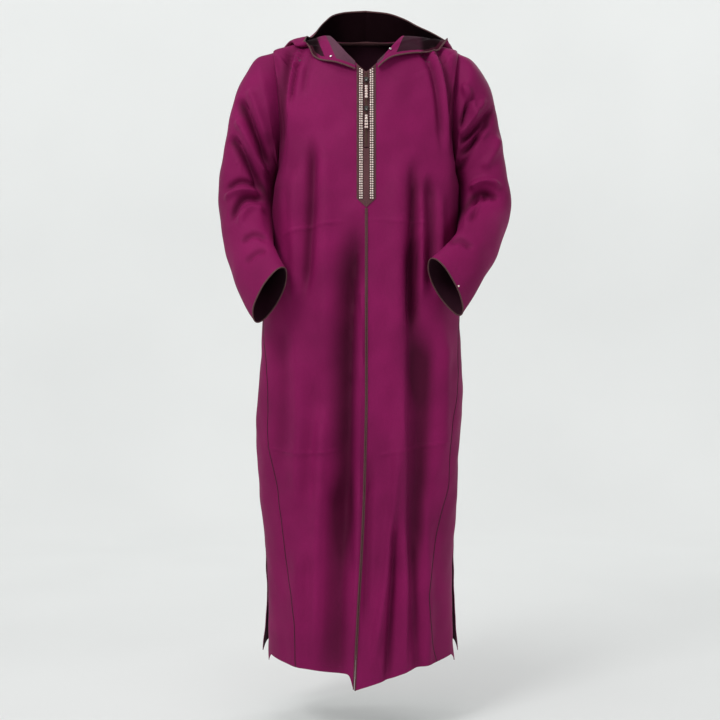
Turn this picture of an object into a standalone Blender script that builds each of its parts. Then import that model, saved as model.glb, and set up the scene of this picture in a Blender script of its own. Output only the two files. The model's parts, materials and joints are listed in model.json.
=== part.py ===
"""Djellaba robe, worn: cloth walls on a hollow form, with hood, trims, zip and two beaded pulls.

Metres, +Z up, the front faces -Y, +X is the wearer's left. The origin is the middle of the
shoulder line, where a wearer holds the robe up.
"""
import math

import bmesh
import bpy
import numpy as np
from mathutils import Matrix, Vector
from mathutils.bvhtree import BVHTree

# ---- driving sizes -----------------------------------------------------------------------
CLOTH = 0.002          # thickness of the robe cloth
SEAM = 0.0004          # space between two pieces at a seam
LAY = 0.0003           # space under a piece that lies on another
UNDERARM_Z = -0.29     # height of the underarm below the shoulder line
HEM_Z = -1.41          # height of the hem
HEM_DIP = 0.036        # how far the left front drops at the centre of the hem
VENT_TOP_Z = -1.32     # top of the centre front vent
SLIT_TOP_Z = -1.13     # top of the side slits
GORE_TIP_Z = -0.60     # top of the side gores
TIP_STATION = 0.344    # shoulder tip, measured up the cloth from the underarm
NECK_STATION = 0.400   # neckline, measured up the cloth from the underarm
ZIP_END_STATION = 0.056
ZIP_HALF = 0.0065      # half the opening that the zip fills
ZIP_TAPE = 0.0012
CHAIN_HALF = 0.0026
CHAIN_HEIGHT = 0.0014
PLACKET_HALF = 0.0212
PLACKET_MID = 0.0135
PLACKET_CLOTH = 0.0012
PLACKET_POINT_Z = -0.394
PLACKET_SHOULDER_Z = -0.374
BEAD_IN = 0.0086
BEAD_OUT = 0.0178
BEAD_HEIGHT = 0.0012
CORD_WIDTH = 0.0032
CORD_HEIGHT = 0.0016
BINDING_WRAP = 0.0045  # how far an edge binding reaches over the cloth
BINDING_CLOTH = 0.0008
RIM_LAY = 0.0005        # space between the hood cloth and its binding
CUFF_LAY = 0.0006       # space between the sleeve cloth and its binding
SNAP_RADIUS = 0.0028
SNAP_HEIGHT = 0.0014
SNAP_LAY = 0.0008       # space under a snap, which is flat on the rounded hood
CUFF_BEAD_RADIUS = 0.0021

# ---- the torso, a row for each level ------------------------------------------------------
FRONT_COLUMNS = ("station", "mid_x", "mid_y", "mid_z", "edge_right", "edge_left",
                 "edge_y", "edge_z", "plan", "rise")
FRONT_ROWS = (
    (-1.120, -0.0245, -0.168, -1.410, 0.2185, 0.2010, -0.026, -1.410, 2.10, 2.0),
    (-0.960, -0.0165, -0.166, -1.250, 0.2225, 0.1945, -0.010, -1.250, 2.10, 2.0),
    (-0.840, -0.0095, -0.164, -1.130, 0.2320, 0.2000, 0.000, -1.130, 2.15, 2.0),
    (-0.740, -0.0050, -0.162, -1.030, 0.2440, 0.2080, 0.000, -1.030, 2.20, 2.0),
    (-0.640, -0.0025, -0.160, -0.930, 0.2505, 0.2140, 0.000, -0.930, 2.25, 2.0),
    (-0.510, 0.0000, -0.160, -0.800, 0.2465, 0.2205, 0.000, -0.800, 2.30, 2.0),
    (-0.370, 0.0000, -0.160, -0.660, 0.2370, 0.2140, 0.000, -0.660, 2.40, 2.0),
    (-0.230, 0.0000, -0.157, -0.520, 0.2200, 0.2100, 0.000, -0.520, 2.55, 2.0),
    (-0.110, 0.0000, -0.151, -0.400, 0.2110, 0.2090, 0.000, -0.400, 2.75, 2.0),
    (-0.045, 0.0000, -0.147, -0.335, 0.2080, 0.2080, 0.000, -0.335, 2.90, 2.0),
    (0.000, 0.0000, -0.144, -0.290, 0.1970, 0.1970, 0.000, -0.290, 2.95, 2.0),
    (0.040, 0.0000, -0.143, -0.270, 0.1970, 0.1970, -0.035, -0.280, 2.80, 2.0),
    (0.080, 0.0000, -0.142, -0.250, 0.1965, 0.1965, -0.062, -0.255, 2.55, 2.0),
    (0.128, 0.0000, -0.140, -0.226, 0.1940, 0.1940, -0.080, -0.215, 2.30, 2.0),
    (0.180, 0.0000, -0.138, -0.200, 0.1960, 0.1950, -0.088, -0.165, 2.25, 2.0),
    (0.232, 0.0000, -0.136, -0.174, 0.2000, 0.1980, -0.083, -0.115, 2.20, 2.0),
    (0.280, 0.0000, -0.134, -0.150, 0.2060, 0.2030, -0.063, -0.066, 2.20, 2.0),
    (0.316, 0.0000, -0.132, -0.133, 0.2100, 0.2070, -0.034, -0.034, 2.15, 1.9),
    (0.344, 0.0000, -0.130, -0.118, 0.2120, 0.2090, 0.000, -0.021, 2.10, 1.8),
    (0.364, 0.0000, -0.1285, -0.109, 0.1700, 0.1700, 0.000, -0.007, 2.05, 1.65),
    (0.382, 0.0000, -0.127, -0.100, 0.1250, 0.1250, 0.000, 0.004, 2.00, 1.45),
    (0.400, 0.0000, -0.125, -0.091, 0.0850, 0.0850, 0.000, 0.012, 2.00, 1.25),
)
BACK_COLUMNS = ("station", "mid_y", "mid_z", "edge_right", "edge_left",
                "edge_y", "edge_z", "plan", "rise")
BACK_ROWS = (
    (-1.120, 0.152, -1.410, 0.2360, 0.2140, 0.026, -1.400, 2.10, 2.0),
    (-0.960, 0.151, -1.250, 0.2290, 0.2000, 0.010, -1.250, 2.10, 2.0),
    (-0.840, 0.150, -1.130, 0.2320, 0.2000, 0.000, -1.130, 2.15, 2.0),
    (-0.740, 0.148, -1.030, 0.2440, 0.2080, 0.000, -1.030, 2.20, 2.0),
    (-0.640, 0.146, -0.930, 0.2505, 0.2140, 0.000, -0.930, 2.25, 2.0),
    (-0.510, 0.143, -0.800, 0.2465, 0.2205, 0.000, -0.800, 2.30, 2.0),
    (-0.370, 0.136, -0.660, 0.2370, 0.2140, 0.000, -0.660, 2.40, 2.0),
    (-0.230, 0.127, -0.520, 0.2200, 0.2100, 0.000, -0.520, 2.55, 2.0),
    (-0.110, 0.123, -0.400, 0.2110, 0.2090, 0.000, -0.400, 2.75, 2.0),
    (-0.045, 0.1235, -0.335, 0.2080, 0.2080, 0.000, -0.335, 2.90, 2.0),
    (0.000, 0.124, -0.290, 0.1970, 0.1970, 0.000, -0.290, 2.95, 2.0),
    (0.040, 0.126, -0.258, 0.1970, 0.1970, 0.033, -0.280, 2.80, 2.0),
    (0.080, 0.128, -0.223, 0.1965, 0.1965, 0.060, -0.255, 2.55, 2.0),
    (0.128, 0.129, -0.183, 0.1940, 0.1940, 0.078, -0.215, 2.30, 2.0),
    (0.180, 0.128, -0.140, 0.1960, 0.1950, 0.086, -0.165, 2.25, 2.0),
    (0.232, 0.124, -0.096, 0.2000, 0.1980, 0.080, -0.115, 2.20, 2.0),
    (0.280, 0.116, -0.057, 0.2060, 0.2030, 0.060, -0.066, 2.20, 2.0),
    (0.316, 0.106, -0.028, 0.2100, 0.2070, 0.032, -0.034, 2.15, 1.9),
    (0.344, 0.096, -0.006, 0.2120, 0.2090, 0.000, -0.021, 2.10, 1.8),
    (0.364, 0.088, 0.006, 0.1700, 0.1700, 0.000, -0.007, 2.05, 1.65),
    (0.382, 0.081, 0.014, 0.1250, 0.1250, 0.000, 0.004, 2.00, 1.45),
    (0.400, 0.075, 0.020, 0.0850, 0.0850, 0.000, 0.012, 2.00, 1.25),
)
# how far round each front reaches before its gore, as a share of the half width
GORE_COLUMNS = ("station", "share_right", "share_left")
GORE_ROWS = (
    (-1.120, 0.647, 0.800),
    (-1.030, 0.662, 0.728),
    (-0.960, 0.709, 0.705),
    (-0.880, 0.762, 0.755),
    (-0.790, 0.785, 0.810),
    (-0.710, 0.808, 0.880),
    (-0.610, 0.880, 0.870),
    (-0.510, 0.895, 0.925),
    (-0.410, 0.945, 0.965),
    (-0.310, 0.999995, 0.999995),
)
BACK_GORE_ROWS = (
    (-1.120, 0.700, 0.700),
    (-0.960, 0.740, 0.740),
    (-0.790, 0.800, 0.800),
    (-0.610, 0.870, 0.870),
    (-0.410, 0.950, 0.950),
    (-0.310, 0.999995, 0.999995),
)
BODY_STATIONS = (-1.120, -1.075, -1.030, -0.960, -0.900, -0.840, -0.770, -0.700, -0.630,
                 -0.560, -0.490, -0.430, -0.370, -0.310, -0.250, -0.190, -0.140, -0.104,
                 -0.084, -0.045)
YOKE_STATIONS = (0.0, 0.056, 0.090, 0.130, 0.180, 0.232, 0.280, 0.316, 0.344,
                 0.364, 0.382, 0.400)
STATIONS = BODY_STATIONS + YOKE_STATIONS
# levels between which the fronts and the back are one solid each, and the sleeve rings between
# which a sleeve is
PANEL_SPANS = (("skirt", STATIONS[0], -0.310), ("body", -0.310, 0.0), ("yoke", 0.0, STATIONS[-1]))
SLEEVE_SPANS = (("upper", 0, 6), ("elbow", 6, 9), ("lower", 9, 12))
FRONT_SPREAD = 7       # cells from the placket edge to the seam
BACK_SPREAD = 6        # cells from the centre back to the seam
GORE_SPREAD = 2
# the largest folds: where each starts and ends, its half width and its depth out of the cloth
FOLD_COLUMNS = ("x_top", "z_top", "x_low", "z_low", "width", "depth")
FRONT_FOLDS = (
    (-0.119, -0.300, -0.119, -0.660, 0.022, -0.008),
    (-0.150, -0.330, -0.160, -0.800, 0.020, 0.006),
    (-0.044, -0.420, -0.047, -1.250, 0.020, -0.010),
    (-0.070, -1.050, -0.080, -1.520, 0.022, -0.012),
    (-0.080, -0.420, -0.090, -1.200, 0.024, 0.006),
    (-0.120, -0.900, -0.128, -1.500, 0.024, 0.009),
    (0.102, -0.330, 0.105, -0.680, 0.018, -0.008),
    (0.137, -0.400, 0.140, -0.560, 0.012, -0.005),
    (0.072, -0.330, 0.075, -0.700, 0.020, 0.005),
    (0.122, -0.720, 0.118, -1.220, 0.028, -0.010),
    (0.067, -0.850, 0.012, -1.520, 0.020, 0.008),
    (0.088, -0.850, 0.086, -1.480, 0.018, 0.008),
    (0.050, -0.980, 0.052, -1.520, 0.015, -0.007),
    (0.125, -1.100, 0.150, -1.500, 0.020, 0.010),
)
BACK_FOLDS = (
    (-0.120, -0.300, -0.130, -1.500, 0.030, -0.010),
    (-0.060, -0.450, -0.055, -1.520, 0.026, 0.010),
    (0.000, -0.500, 0.010, -1.500, 0.024, -0.011),
    (0.065, -0.420, 0.070, -1.520, 0.026, 0.010),
    (0.125, -0.350, 0.130, -1.480, 0.028, -0.010),
)

# ---- the sleeves, a row for each ring from the armhole to the cuff ------------------------
SLEEVE_COLUMNS = ("in_x", "in_z", "out_x", "out_z", "mid_y", "half", "tilt")
SLEEVE_RIGHT_ROWS = (
    (0.2030, -0.2925, 0.2460, -0.0340, 0.000, 0.085, 0.0),
    (0.2085, -0.2965, 0.2740, -0.0690, 0.001, 0.082, 0.0),
    (0.2120, -0.3030, 0.2950, -0.1130, 0.003, 0.080, 0.0),
    (0.2145, -0.3120, 0.3130, -0.1760, 0.006, 0.078, 0.0),
    (0.2160, -0.3260, 0.3260, -0.2420, 0.008, 0.076, 0.0),
    (0.2165, -0.3450, 0.3350, -0.3060, 0.006, 0.075, 2.0),
    (0.2165, -0.3720, 0.3380, -0.3630, -0.003, 0.073, 9.0),
    (0.2160, -0.4030, 0.3320, -0.4140, -0.024, 0.069, 20.0),
    (0.2140, -0.4380, 0.3200, -0.4650, -0.059, 0.063, 31.0),
    (0.2060, -0.4730, 0.3030, -0.5190, -0.104, 0.057, 40.0),
    (0.1910, -0.5080, 0.2790, -0.5750, -0.150, 0.050, 45.0),
    (0.1720, -0.5420, 0.2420, -0.6320, -0.192, 0.046, 47.0),
)
SLEEVE_LEFT_ROWS = (
    (0.2030, -0.2925, 0.2380, -0.0390, 0.000, 0.085, 0.0),
    (0.2085, -0.2965, 0.2670, -0.0770, 0.001, 0.082, 0.0),
    (0.2120, -0.3030, 0.2890, -0.1180, 0.003, 0.080, 0.0),
    (0.2145, -0.3120, 0.3030, -0.1770, 0.006, 0.078, 0.0),
    (0.2160, -0.3260, 0.3140, -0.2430, 0.008, 0.075, 0.0),
    (0.2165, -0.3440, 0.3250, -0.3060, 0.006, 0.074, 2.0),
    (0.2165, -0.3680, 0.3320, -0.3620, -0.003, 0.071, 9.0),
    (0.2150, -0.3960, 0.3240, -0.4020, -0.024, 0.067, 20.0),
    (0.2110, -0.4260, 0.3110, -0.4400, -0.061, 0.062, 31.0),
    (0.1980, -0.4580, 0.2910, -0.4880, -0.107, 0.057, 40.0),
    (0.1700, -0.4920, 0.2560, -0.5400, -0.153, 0.050, 45.0),
    (0.1330, -0.5240, 0.2090, -0.6200, -0.192, 0.046, 47.0),
)
# folds of the sleeve: ring and angle where each starts and ends, width in degrees, depth
SLEEVE_FOLD_COLUMNS = ("ring_top", "turn_top", "ring_low", "turn_low", "width", "depth")
SLEEVE_FOLDS = (
    (0.5, 60.0, 5.5, 140.0, 34.0, -0.010),
    (1.0, 25.0, 6.5, 90.0, 32.0, -0.007),
    (5.5, 30.0, 9.5, 120.0, 34.0, 0.006),
    (6.0, 80.0, 10.0, 140.0, 32.0, -0.007),
    (2.0, 270.0, 7.0, 220.0, 36.0, -0.008),
)

# ---- the hood, a row for each station from the neck point round to the centre back --------
HOOD_COLUMNS = ("neck", "turn_x", "turn_y", "turn_z", "rim_x", "rim_y", "rim_z", "puff",
                "folded")
HOOD_RIGHT_ROWS = (
    (0.18, 0.0240, -0.1320, -0.0790, 0.0245, -0.1340, -0.0870, 0.000, 0.0),
    (0.27, 0.0370, -0.1310, -0.0700, 0.0420, -0.1330, -0.0800, 0.000, 0.0),
    (0.41, 0.0600, -0.1230, -0.0600, 0.0700, -0.1270, -0.0705, 0.000, 0.0),
    (0.56, 0.0950, -0.1080, -0.0620, 0.0980, -0.1110, -0.0620, 0.000, 0.0),
    (0.72, 0.1290, -0.0860, -0.0550, 0.1200, -0.0860, -0.0480, 0.000, 0.2),
    (0.86, 0.1560, -0.0520, -0.0350, 0.1310, -0.0450, -0.0230, 0.001, 0.8),
    (1.00, 0.1800, 0.0000, -0.0100, 0.1300, -0.0040, 0.0050, 0.007, 1.0),
    (1.16, 0.1980, 0.0600, -0.0350, 0.1190, 0.0330, 0.0320, 0.014, 1.0),
    (1.34, 0.1940, 0.1150, -0.0950, 0.1020, 0.0670, 0.0640, 0.022, 1.0),
    (1.54, 0.1600, 0.1440, -0.1850, 0.0790, 0.0960, 0.0900, 0.030, 1.0),
    (1.78, 0.0950, 0.1540, -0.2850, 0.0440, 0.1170, 0.1050, 0.036, 1.0),
    (2.00, 0.0000, 0.1560, -0.3450, 0.0000, 0.1270, 0.1100, 0.038, 1.0),
)
HOOD_LEFT_ROWS = (
    (0.18, 0.0240, -0.1320, -0.0750, 0.0250, -0.1330, -0.0830, 0.000, 0.0),
    (0.27, 0.0360, -0.1300, -0.0620, 0.0390, -0.1330, -0.0700, 0.000, 0.0),
    (0.41, 0.0560, -0.1200, -0.0500, 0.0610, -0.1240, -0.0560, 0.000, 0.0),
    (0.56, 0.0900, -0.1040, -0.0450, 0.0960, -0.1090, -0.0470, 0.000, 0.0),
    (0.72, 0.1290, -0.0880, -0.0440, 0.1340, -0.0900, -0.0400, 0.000, 0.0),
    (0.86, 0.1740, -0.0560, -0.0370, 0.1690, -0.0560, -0.0300, 0.000, 0.2),
    (1.00, 0.1960, -0.0040, -0.0160, 0.1830, -0.0080, -0.0020, 0.001, 0.8),
    (1.16, 0.2010, 0.0560, -0.0400, 0.1680, 0.0280, 0.0240, 0.008, 1.0),
    (1.34, 0.1960, 0.1150, -0.0950, 0.1320, 0.0620, 0.0520, 0.020, 1.0),
    (1.54, 0.1600, 0.1440, -0.1850, 0.0930, 0.0930, 0.0800, 0.030, 1.0),
    (1.78, 0.0950, 0.1540, -0.2850, 0.0500, 0.1160, 0.1020, 0.036, 1.0),
    (2.00, 0.0000, 0.1560, -0.3450, 0.0000, 0.1270, 0.1100, 0.038, 1.0),
)
HOOD_LOWER = 6         # cells from the neck seam to the fold
HOOD_UPPER = 3         # cells from the fold to the binding
RISE_FIRST = 4.0       # the folded edge rises this much faster than it moves out
TURN_RISE = 0.0065     # from the lower to the upper layer where the hood folds
NECK_LAY = 0.0015       # space under the hood at the neck seam
HOOD_GAP = 0.0034      # from the robe's skin to the middle of the hood cloth
FOLD_GAP = 0.0030      # more space under the hood where it crosses the shoulder
HOOD_REACH = 3.0        # how much further the pouch stands out below than at its rim
FLAT_FOLD = (0.45, 0.55)  # where the two sides of the fold lie while the rim lies flat
UNDER_SHARES = (0.33, 0.68)
OVER_SHARES = ((0.16, 0.75), (0.5, 1.0))  # share of the way to the rim, share of the puff
RISE_LEAN = 0.4        # how far the standing rim leans off the robe
MIN_RUN = 0.013        # least width of the upper layer; the rim stands up where it is less
HOOD_STEPS = {
    -1: (0.0, 1.0, 2.0, 3.0, 3.6, 4.0, 4.2, 4.25, 4.35, 4.5, 4.8, 5.5, 6.0, 6.5, 7.0, 7.5, 8.0,
         8.5, 9.0, 9.6, 10.3, 11.0),
    1: (0.0, 1.0, 2.0, 3.0, 4.0, 4.6, 5.0, 5.2, 5.6, 5.7, 5.8, 6.0, 6.5, 7.0, 7.5, 8.0, 8.5,
        9.0, 9.6, 10.3, 11.0),
}

# the two snaps of the hood: where each is along the rim and out from the neck seam
SNAP_COLUMNS = ("side", "station", "column", "share")
SNAP_ROWS = (
    (-1, 2.5, 8, 0.6),
    (1, 2.0, 1, 0.3),
)

# ---- zip fittings --------------------------------------------------------------------------
SLIDER_UPPER_Z = -0.113
SLIDER_LOWER_Z = -0.178
SLIDER_LENGTH = 0.010
SLIDER_HALF = 0.0042
BAR_REACH = 0.0026     # from the slider face to the hinge bar
BAR_RADIUS = 0.0005
BAR_SET = 0.0030       # how far below the middle of the slider its bar is
EYE_INNER = 0.0011
EYE_OUTER = 0.0019
EYE_HALF = 0.0009
PULL_LENGTH = 0.031
POST_IN = 0.0013
POST_OUT = 0.0023
PULL_COLUMNS = ("drop", "radius", "half_height")
PULL_UPPER_BEADS = ((0.0054, 0.0026, 0.0024), (0.0104, 0.0027, 0.0025), (0.0157, 0.0028, 0.0027),
                    (0.0212, 0.0028, 0.0027), (0.0269, 0.0029, 0.0028))
PULL_LOWER_BEADS = ((0.0056, 0.0027, 0.0026), (0.0111, 0.0028, 0.0028), (0.0168, 0.0033, 0.0028),
                    (0.0226, 0.0034, 0.0029), (0.0285, 0.0034, 0.0029))

COLOURS = {
    "cloth": (0.165, 0.012, 0.080, 1.0),
    "trim": (0.090, 0.045, 0.048, 1.0),
    "cream": (0.740, 0.610, 0.570, 1.0),
    "metal": (0.620, 0.600, 0.560, 1.0),
    "brass": (0.420, 0.300, 0.180, 1.0),
}


# ---- tables --------------------------------------------------------------------------------
def table(columns, rows):
    """Return the rows as arrays by column name."""
    data = np.array(rows, dtype=float)
    return {name: data[:, index] for index, name in enumerate(columns)}


def blend_slopes(first, second):
    """Slope through a table value that never carries the curve past its neighbours."""
    if first * second <= 0.0:
        return 0.0
    return 2.0 * first * second / (first + second)


def smooth(keys, values, at):
    """Pass a smooth curve through a table's values and read it at one key."""
    if at <= keys[0]:
        return float(values[0])
    if at >= keys[-1]:
        return float(values[-1])
    upper = int(np.searchsorted(keys, at, side="right"))
    lower = upper - 1
    step = keys[upper] - keys[lower]
    share = (at - keys[lower]) / step
    rise = (values[upper] - values[lower]) / step
    before = rise
    after = rise
    if lower > 0:
        earlier = (values[lower] - values[lower - 1]) / (keys[lower] - keys[lower - 1])
        before = blend_slopes(earlier, rise)
    if upper < len(keys) - 1:
        later = (values[upper + 1] - values[upper]) / (keys[upper + 1] - keys[upper])
        after = blend_slopes(rise, later)
    a = share * share * (3.0 - 2.0 * share)
    b = share * (1.0 - share) * (1.0 - share)
    c = share * share * (share - 1.0)
    return float(values[lower] * (1.0 - a) + values[upper] * a + step * (before * b + after * c))


FRONT = table(FRONT_COLUMNS, FRONT_ROWS)
BACK = table(BACK_COLUMNS, BACK_ROWS)
GORE_FRONT = table(GORE_COLUMNS, GORE_ROWS)
GORE_BACK = table(GORE_COLUMNS, BACK_GORE_ROWS)
SLEEVES = {
    -1: table(SLEEVE_COLUMNS, SLEEVE_RIGHT_ROWS),
    1: table(SLEEVE_COLUMNS, SLEEVE_LEFT_ROWS),
}
HOODS = {
    -1: table(HOOD_COLUMNS, HOOD_RIGHT_ROWS),
    1: table(HOOD_COLUMNS, HOOD_LEFT_ROWS),
}
SIDE_NAMES = {-1: "right", 1: "left"}


def level(part, station):
    """Read one torso row, of the front or of the back, at a station."""
    source = FRONT if part == "front" else BACK
    row = {name: smooth(source["station"], source[name], station) for name in source}
    row.setdefault("mid_x", 0.0)
    return row


def edge_of(row, side):
    return side * (row["edge_left"] if side > 0 else row["edge_right"])


def ramp(value, start, end):
    share = min(1.0, max(0.0, (value - start) / (end - start)))
    return share * share * (3.0 - 2.0 * share)


def fold_depth(folds, x, z):
    """Add up how far the folds push the cloth out at a place."""
    total = 0.0
    for fold in folds:
        x_top, z_top, x_low, z_low, width, depth = fold
        share = (z_top - z) / (z_top - z_low)
        if share <= 0.0 or share >= 1.0:
            continue
        middle = x_top + (x_low - x_top) * share
        fade = ramp(share, 0.0, 0.3) * ramp(1.0 - share, 0.0, 0.15)
        total += depth * fade * math.exp(-((x - middle) / width) ** 2)
    return total


def torso(part, side, station, turn):
    """Point on the torso form; turn is 0 at the centre and 1 at the side seam."""
    row = level(part, station)
    angle = turn * math.pi / 2.0
    power = 2.0 / row["plan"]
    out = max(0.0, math.sin(angle)) ** power
    forward = max(0.0, math.cos(angle)) ** power
    x = row["mid_x"] + (edge_of(row, side) - row["mid_x"]) * out
    y = row["edge_y"] + (row["mid_y"] - row["edge_y"]) * forward
    z = row["mid_z"] + (row["edge_z"] - row["mid_z"]) * out ** row["rise"]
    facing = -1.0 if part == "front" else 1.0
    push = fold_depth(FRONT_FOLDS if part == "front" else BACK_FOLDS, x, z)
    push *= ramp(1.0 - turn, 0.0, 0.15)
    if part == "front" and side > 0:
        drop = HEM_DIP * max(0.0, 1.0 - out / 0.65) ** 1.3
        z -= drop * ramp(-station, 0.62, 1.12)
    return np.array((x + side * push * math.sin(angle),
                     y + facing * push * math.cos(angle), z))


def turn_at(part, side, station, offset):
    """The turn at which the torso is a given distance from its centre line."""
    row = level(part, station)
    share = min(1.0, offset / abs(edge_of(row, side) - row["mid_x"]))
    return math.asin(share ** (row["plan"] / 2.0)) * 2.0 / math.pi


def turn_of_share(part, station, share):
    row = level(part, station)
    return math.asin(min(1.0, share) ** (row["plan"] / 2.0)) * 2.0 / math.pi


def unit(vector):
    return vector / np.linalg.norm(vector)


def torso_normal(part, side, station, turn):
    step = 0.004
    low_turn = max(0.0, turn - step)
    high_turn = min(1.0, turn + step)
    low = max(STATIONS[0], station - step)
    high = min(STATIONS[-1], station + step)
    across = torso(part, side, station, high_turn) - torso(part, side, station, low_turn)
    along = torso(part, side, high, turn) - torso(part, side, low, turn)
    sign = side if part == "front" else -side
    return sign * unit(np.cross(across, along))


# ---- solids --------------------------------------------------------------------------------
def material(name, colour, rough, metal=0.0):
    new = bpy.data.materials.new(name)
    new.use_nodes = True
    shader = new.node_tree.nodes["Principled BSDF"]
    shader.inputs["Base Color"].default_value = COLOURS[colour]
    shader.inputs["Roughness"].default_value = rough
    shader.inputs["Metallic"].default_value = metal
    return new


def place(name, vertices, faces, colour, rough=0.85, metal=0.0, origin=(0.0, 0.0, 0.0)):
    """Make one closed object facing out, with its own material."""
    shift = np.array(origin)
    mesh = bpy.data.meshes.new(name)
    mesh.from_pydata([tuple(np.array(v) - shift) for v in vertices], [], faces)
    shape = bmesh.new()
    shape.from_mesh(mesh)
    bmesh.ops.recalc_face_normals(shape, faces=shape.faces)
    bmesh.ops.triangulate(shape, faces=shape.faces, quad_method="SHORT_EDGE")
    shape.to_mesh(mesh)
    shape.free()
    new = bpy.data.objects.new(name, mesh)
    new.location = origin
    mesh.materials.append(material(name, colour, rough, metal))
    bpy.context.collection.objects.link(new)
    return new


def grid_faces(rows, columns, keep=None, closed=False):
    """Cells of a grid, each a loop of four corners."""
    cells = []
    span = columns if closed else columns - 1
    for r in range(rows - 1):
        for c in range(span):
            if keep is not None and not keep(r, c):
                continue
            following = (c + 1) % columns
            cells.append((r * columns + c, r * columns + following,
                          (r + 1) * columns + following, (r + 1) * columns + c))
    return cells


def wall(name, points, normals, cells, low, high, colour, rough=0.85):
    """Close a sheet of cells into a solid between two heights above its points."""
    used = sorted({index for cell in cells for index in cell})
    renumber = {index: count for count, index in enumerate(used)}
    count = len(used)
    vertices = [points[i] + normals[i] * high for i in used]
    vertices += [points[i] + normals[i] * low for i in used]
    faces = []
    edges = {}
    for cell in cells:
        loop = [renumber[i] for i in cell]
        faces.append(tuple(loop))
        faces.append(tuple(i + count for i in reversed(loop)))
        for a, b in zip(loop, loop[1:] + loop[:1]):
            if (b, a) in edges:
                del edges[(b, a)]
            else:
                edges[(a, b)] = True
    for a, b in edges:
        faces.append((b, a, a + count, b + count))
    return place(name, vertices, faces, colour, rough)


def sweep(name, frames, profile, colour, rough=0.8, closed=False, origin=(0.0, 0.0, 0.0),
          metal=0.0):
    """Carry a closed profile along frames of (centre, first axis, second axis)."""
    vertices = []
    for centre, first, second in frames:
        vertices += [centre + first * a + second * b for a, b in profile]
    around = len(profile)
    rows = len(frames)
    faces = []
    last = rows if closed else rows - 1
    for r in range(last):
        following = (r + 1) % rows
        for c in range(around):
            d = (c + 1) % around
            faces.append((r * around + c, r * around + d,
                          following * around + d, following * around + c))
    if not closed:
        faces.append(tuple(range(around)))
        faces.append(tuple((rows - 1) * around + c for c in reversed(range(around))))
    return place(name, vertices, faces, colour, rough, metal, origin)


# ---- sleeves (worked out first, because the fronts and back share their seam) --------------
ARM_STATIONS = [s for s in YOKE_STATIONS if s <= TIP_STATION]
AROUND = 2 * (len(ARM_STATIONS) - 1)


def armhole(side):
    """Loop of (part, station) and points: tip, down the front, underarm, up the back."""
    loop = [("front", s) for s in reversed(ARM_STATIONS)]
    loop += [("back", s) for s in ARM_STATIONS[1:-1]]
    return loop, [torso(part, side, station, 1.0) for part, station in loop]


def sleeve_point(side, ring, angle):
    """Point on the sleeve; ring counts from the first row past the armhole."""
    rows = SLEEVES[side]
    keys = np.arange(len(rows["half"]), dtype=float)
    row = {name: smooth(keys, rows[name], ring) for name in rows}
    inner = np.array((side * row["in_x"], row["mid_y"], row["in_z"]))
    outer = np.array((side * row["out_x"], row["mid_y"], row["out_z"]))
    tilt = math.radians(row["tilt"])
    forward = np.array((0.0, -math.cos(tilt), math.sin(tilt))) * row["half"]
    radians = math.radians(angle)
    cosine = math.cos(radians)
    sine = math.sin(radians)
    power = 2.0 / 2.2
    a = math.copysign(abs(cosine) ** power, cosine)
    b = math.copysign(abs(sine) ** power, sine)
    push = 0.0
    for ring_top, turn_top, ring_low, turn_low, width, depth in SLEEVE_FOLDS:
        share = (ring + 1.0 - ring_top) / (ring_low - ring_top)
        if share <= 0.0 or share >= 1.0:
            continue
        middle = turn_top + (turn_low - turn_top) * share
        apart = (angle - middle + 180.0) % 360.0 - 180.0
        push += depth * math.sin(math.pi * share) * math.exp(-(apart / width) ** 2)
    base = (inner + outer) / 2.0
    arm = (outer - inner) / 2.0 * a + forward * b
    return base + arm + unit(arm) * push


def sleeve_grid(side):
    loop, first = armhole(side)
    rings = [first]
    for ring in range(len(SLEEVES[side]["half"])):
        rings.append([sleeve_point(side, float(ring), 360.0 * j / AROUND) for j in range(AROUND)])
    return loop, rings


def ring_normals(rings, side):
    """Outward normals of a closed tube of rings."""
    count = len(rings)
    result = []
    for r in range(count):
        low = max(0, r - 1)
        high = min(count - 1, r + 1)
        row = []
        for j in range(AROUND):
            along = rings[high][j] - rings[low][j]
            across = rings[r][(j + 1) % AROUND] - rings[r][(j - 1) % AROUND]
            row.append(side * unit(np.cross(across, along)))
        result.append(row)
    return result


seam_normals = {}
sleeve_data = {}
for side in (-1, 1):
    loop, rings = sleeve_grid(side)
    normals = ring_normals(rings, side)
    middle = sum(rings[3]) / AROUND
    if np.dot(normals[3][0], rings[3][0] - middle) < 0.0:
        normals = [[-n for n in row] for row in normals]
    for j, (part, station) in enumerate(loop):
        shared = unit(normals[0][j] + torso_normal(part, side, station, 1.0))
        normals[0][j] = shared
        seam_normals[(part, side, station)] = shared
        if station in (ARM_STATIONS[0], ARM_STATIONS[-1]):
            seam_normals[("back", side, station)] = shared
    sleeve_data[side] = (rings, normals)


def edge_normal(part, side, station, turn):
    """Normal for a panel point, shared with the sleeve along the armhole."""
    if turn > 0.9999 and (part, side, station) in seam_normals:
        return seam_normals[(part, side, station)]
    if turn > 0.9999:
        both = torso_normal("front", side, station, 1.0) + torso_normal("back", side, station, 1.0)
        return unit(both) if station <= 0.0 or station >= TIP_STATION else both / 2.0
    return torso_normal(part, side, station, turn)


def pulled_in(points, index, neighbour):
    """Move a border point towards its neighbour by half a seam."""
    return points[index] + unit(points[neighbour] - points[index]) * SEAM / 2.0


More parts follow.
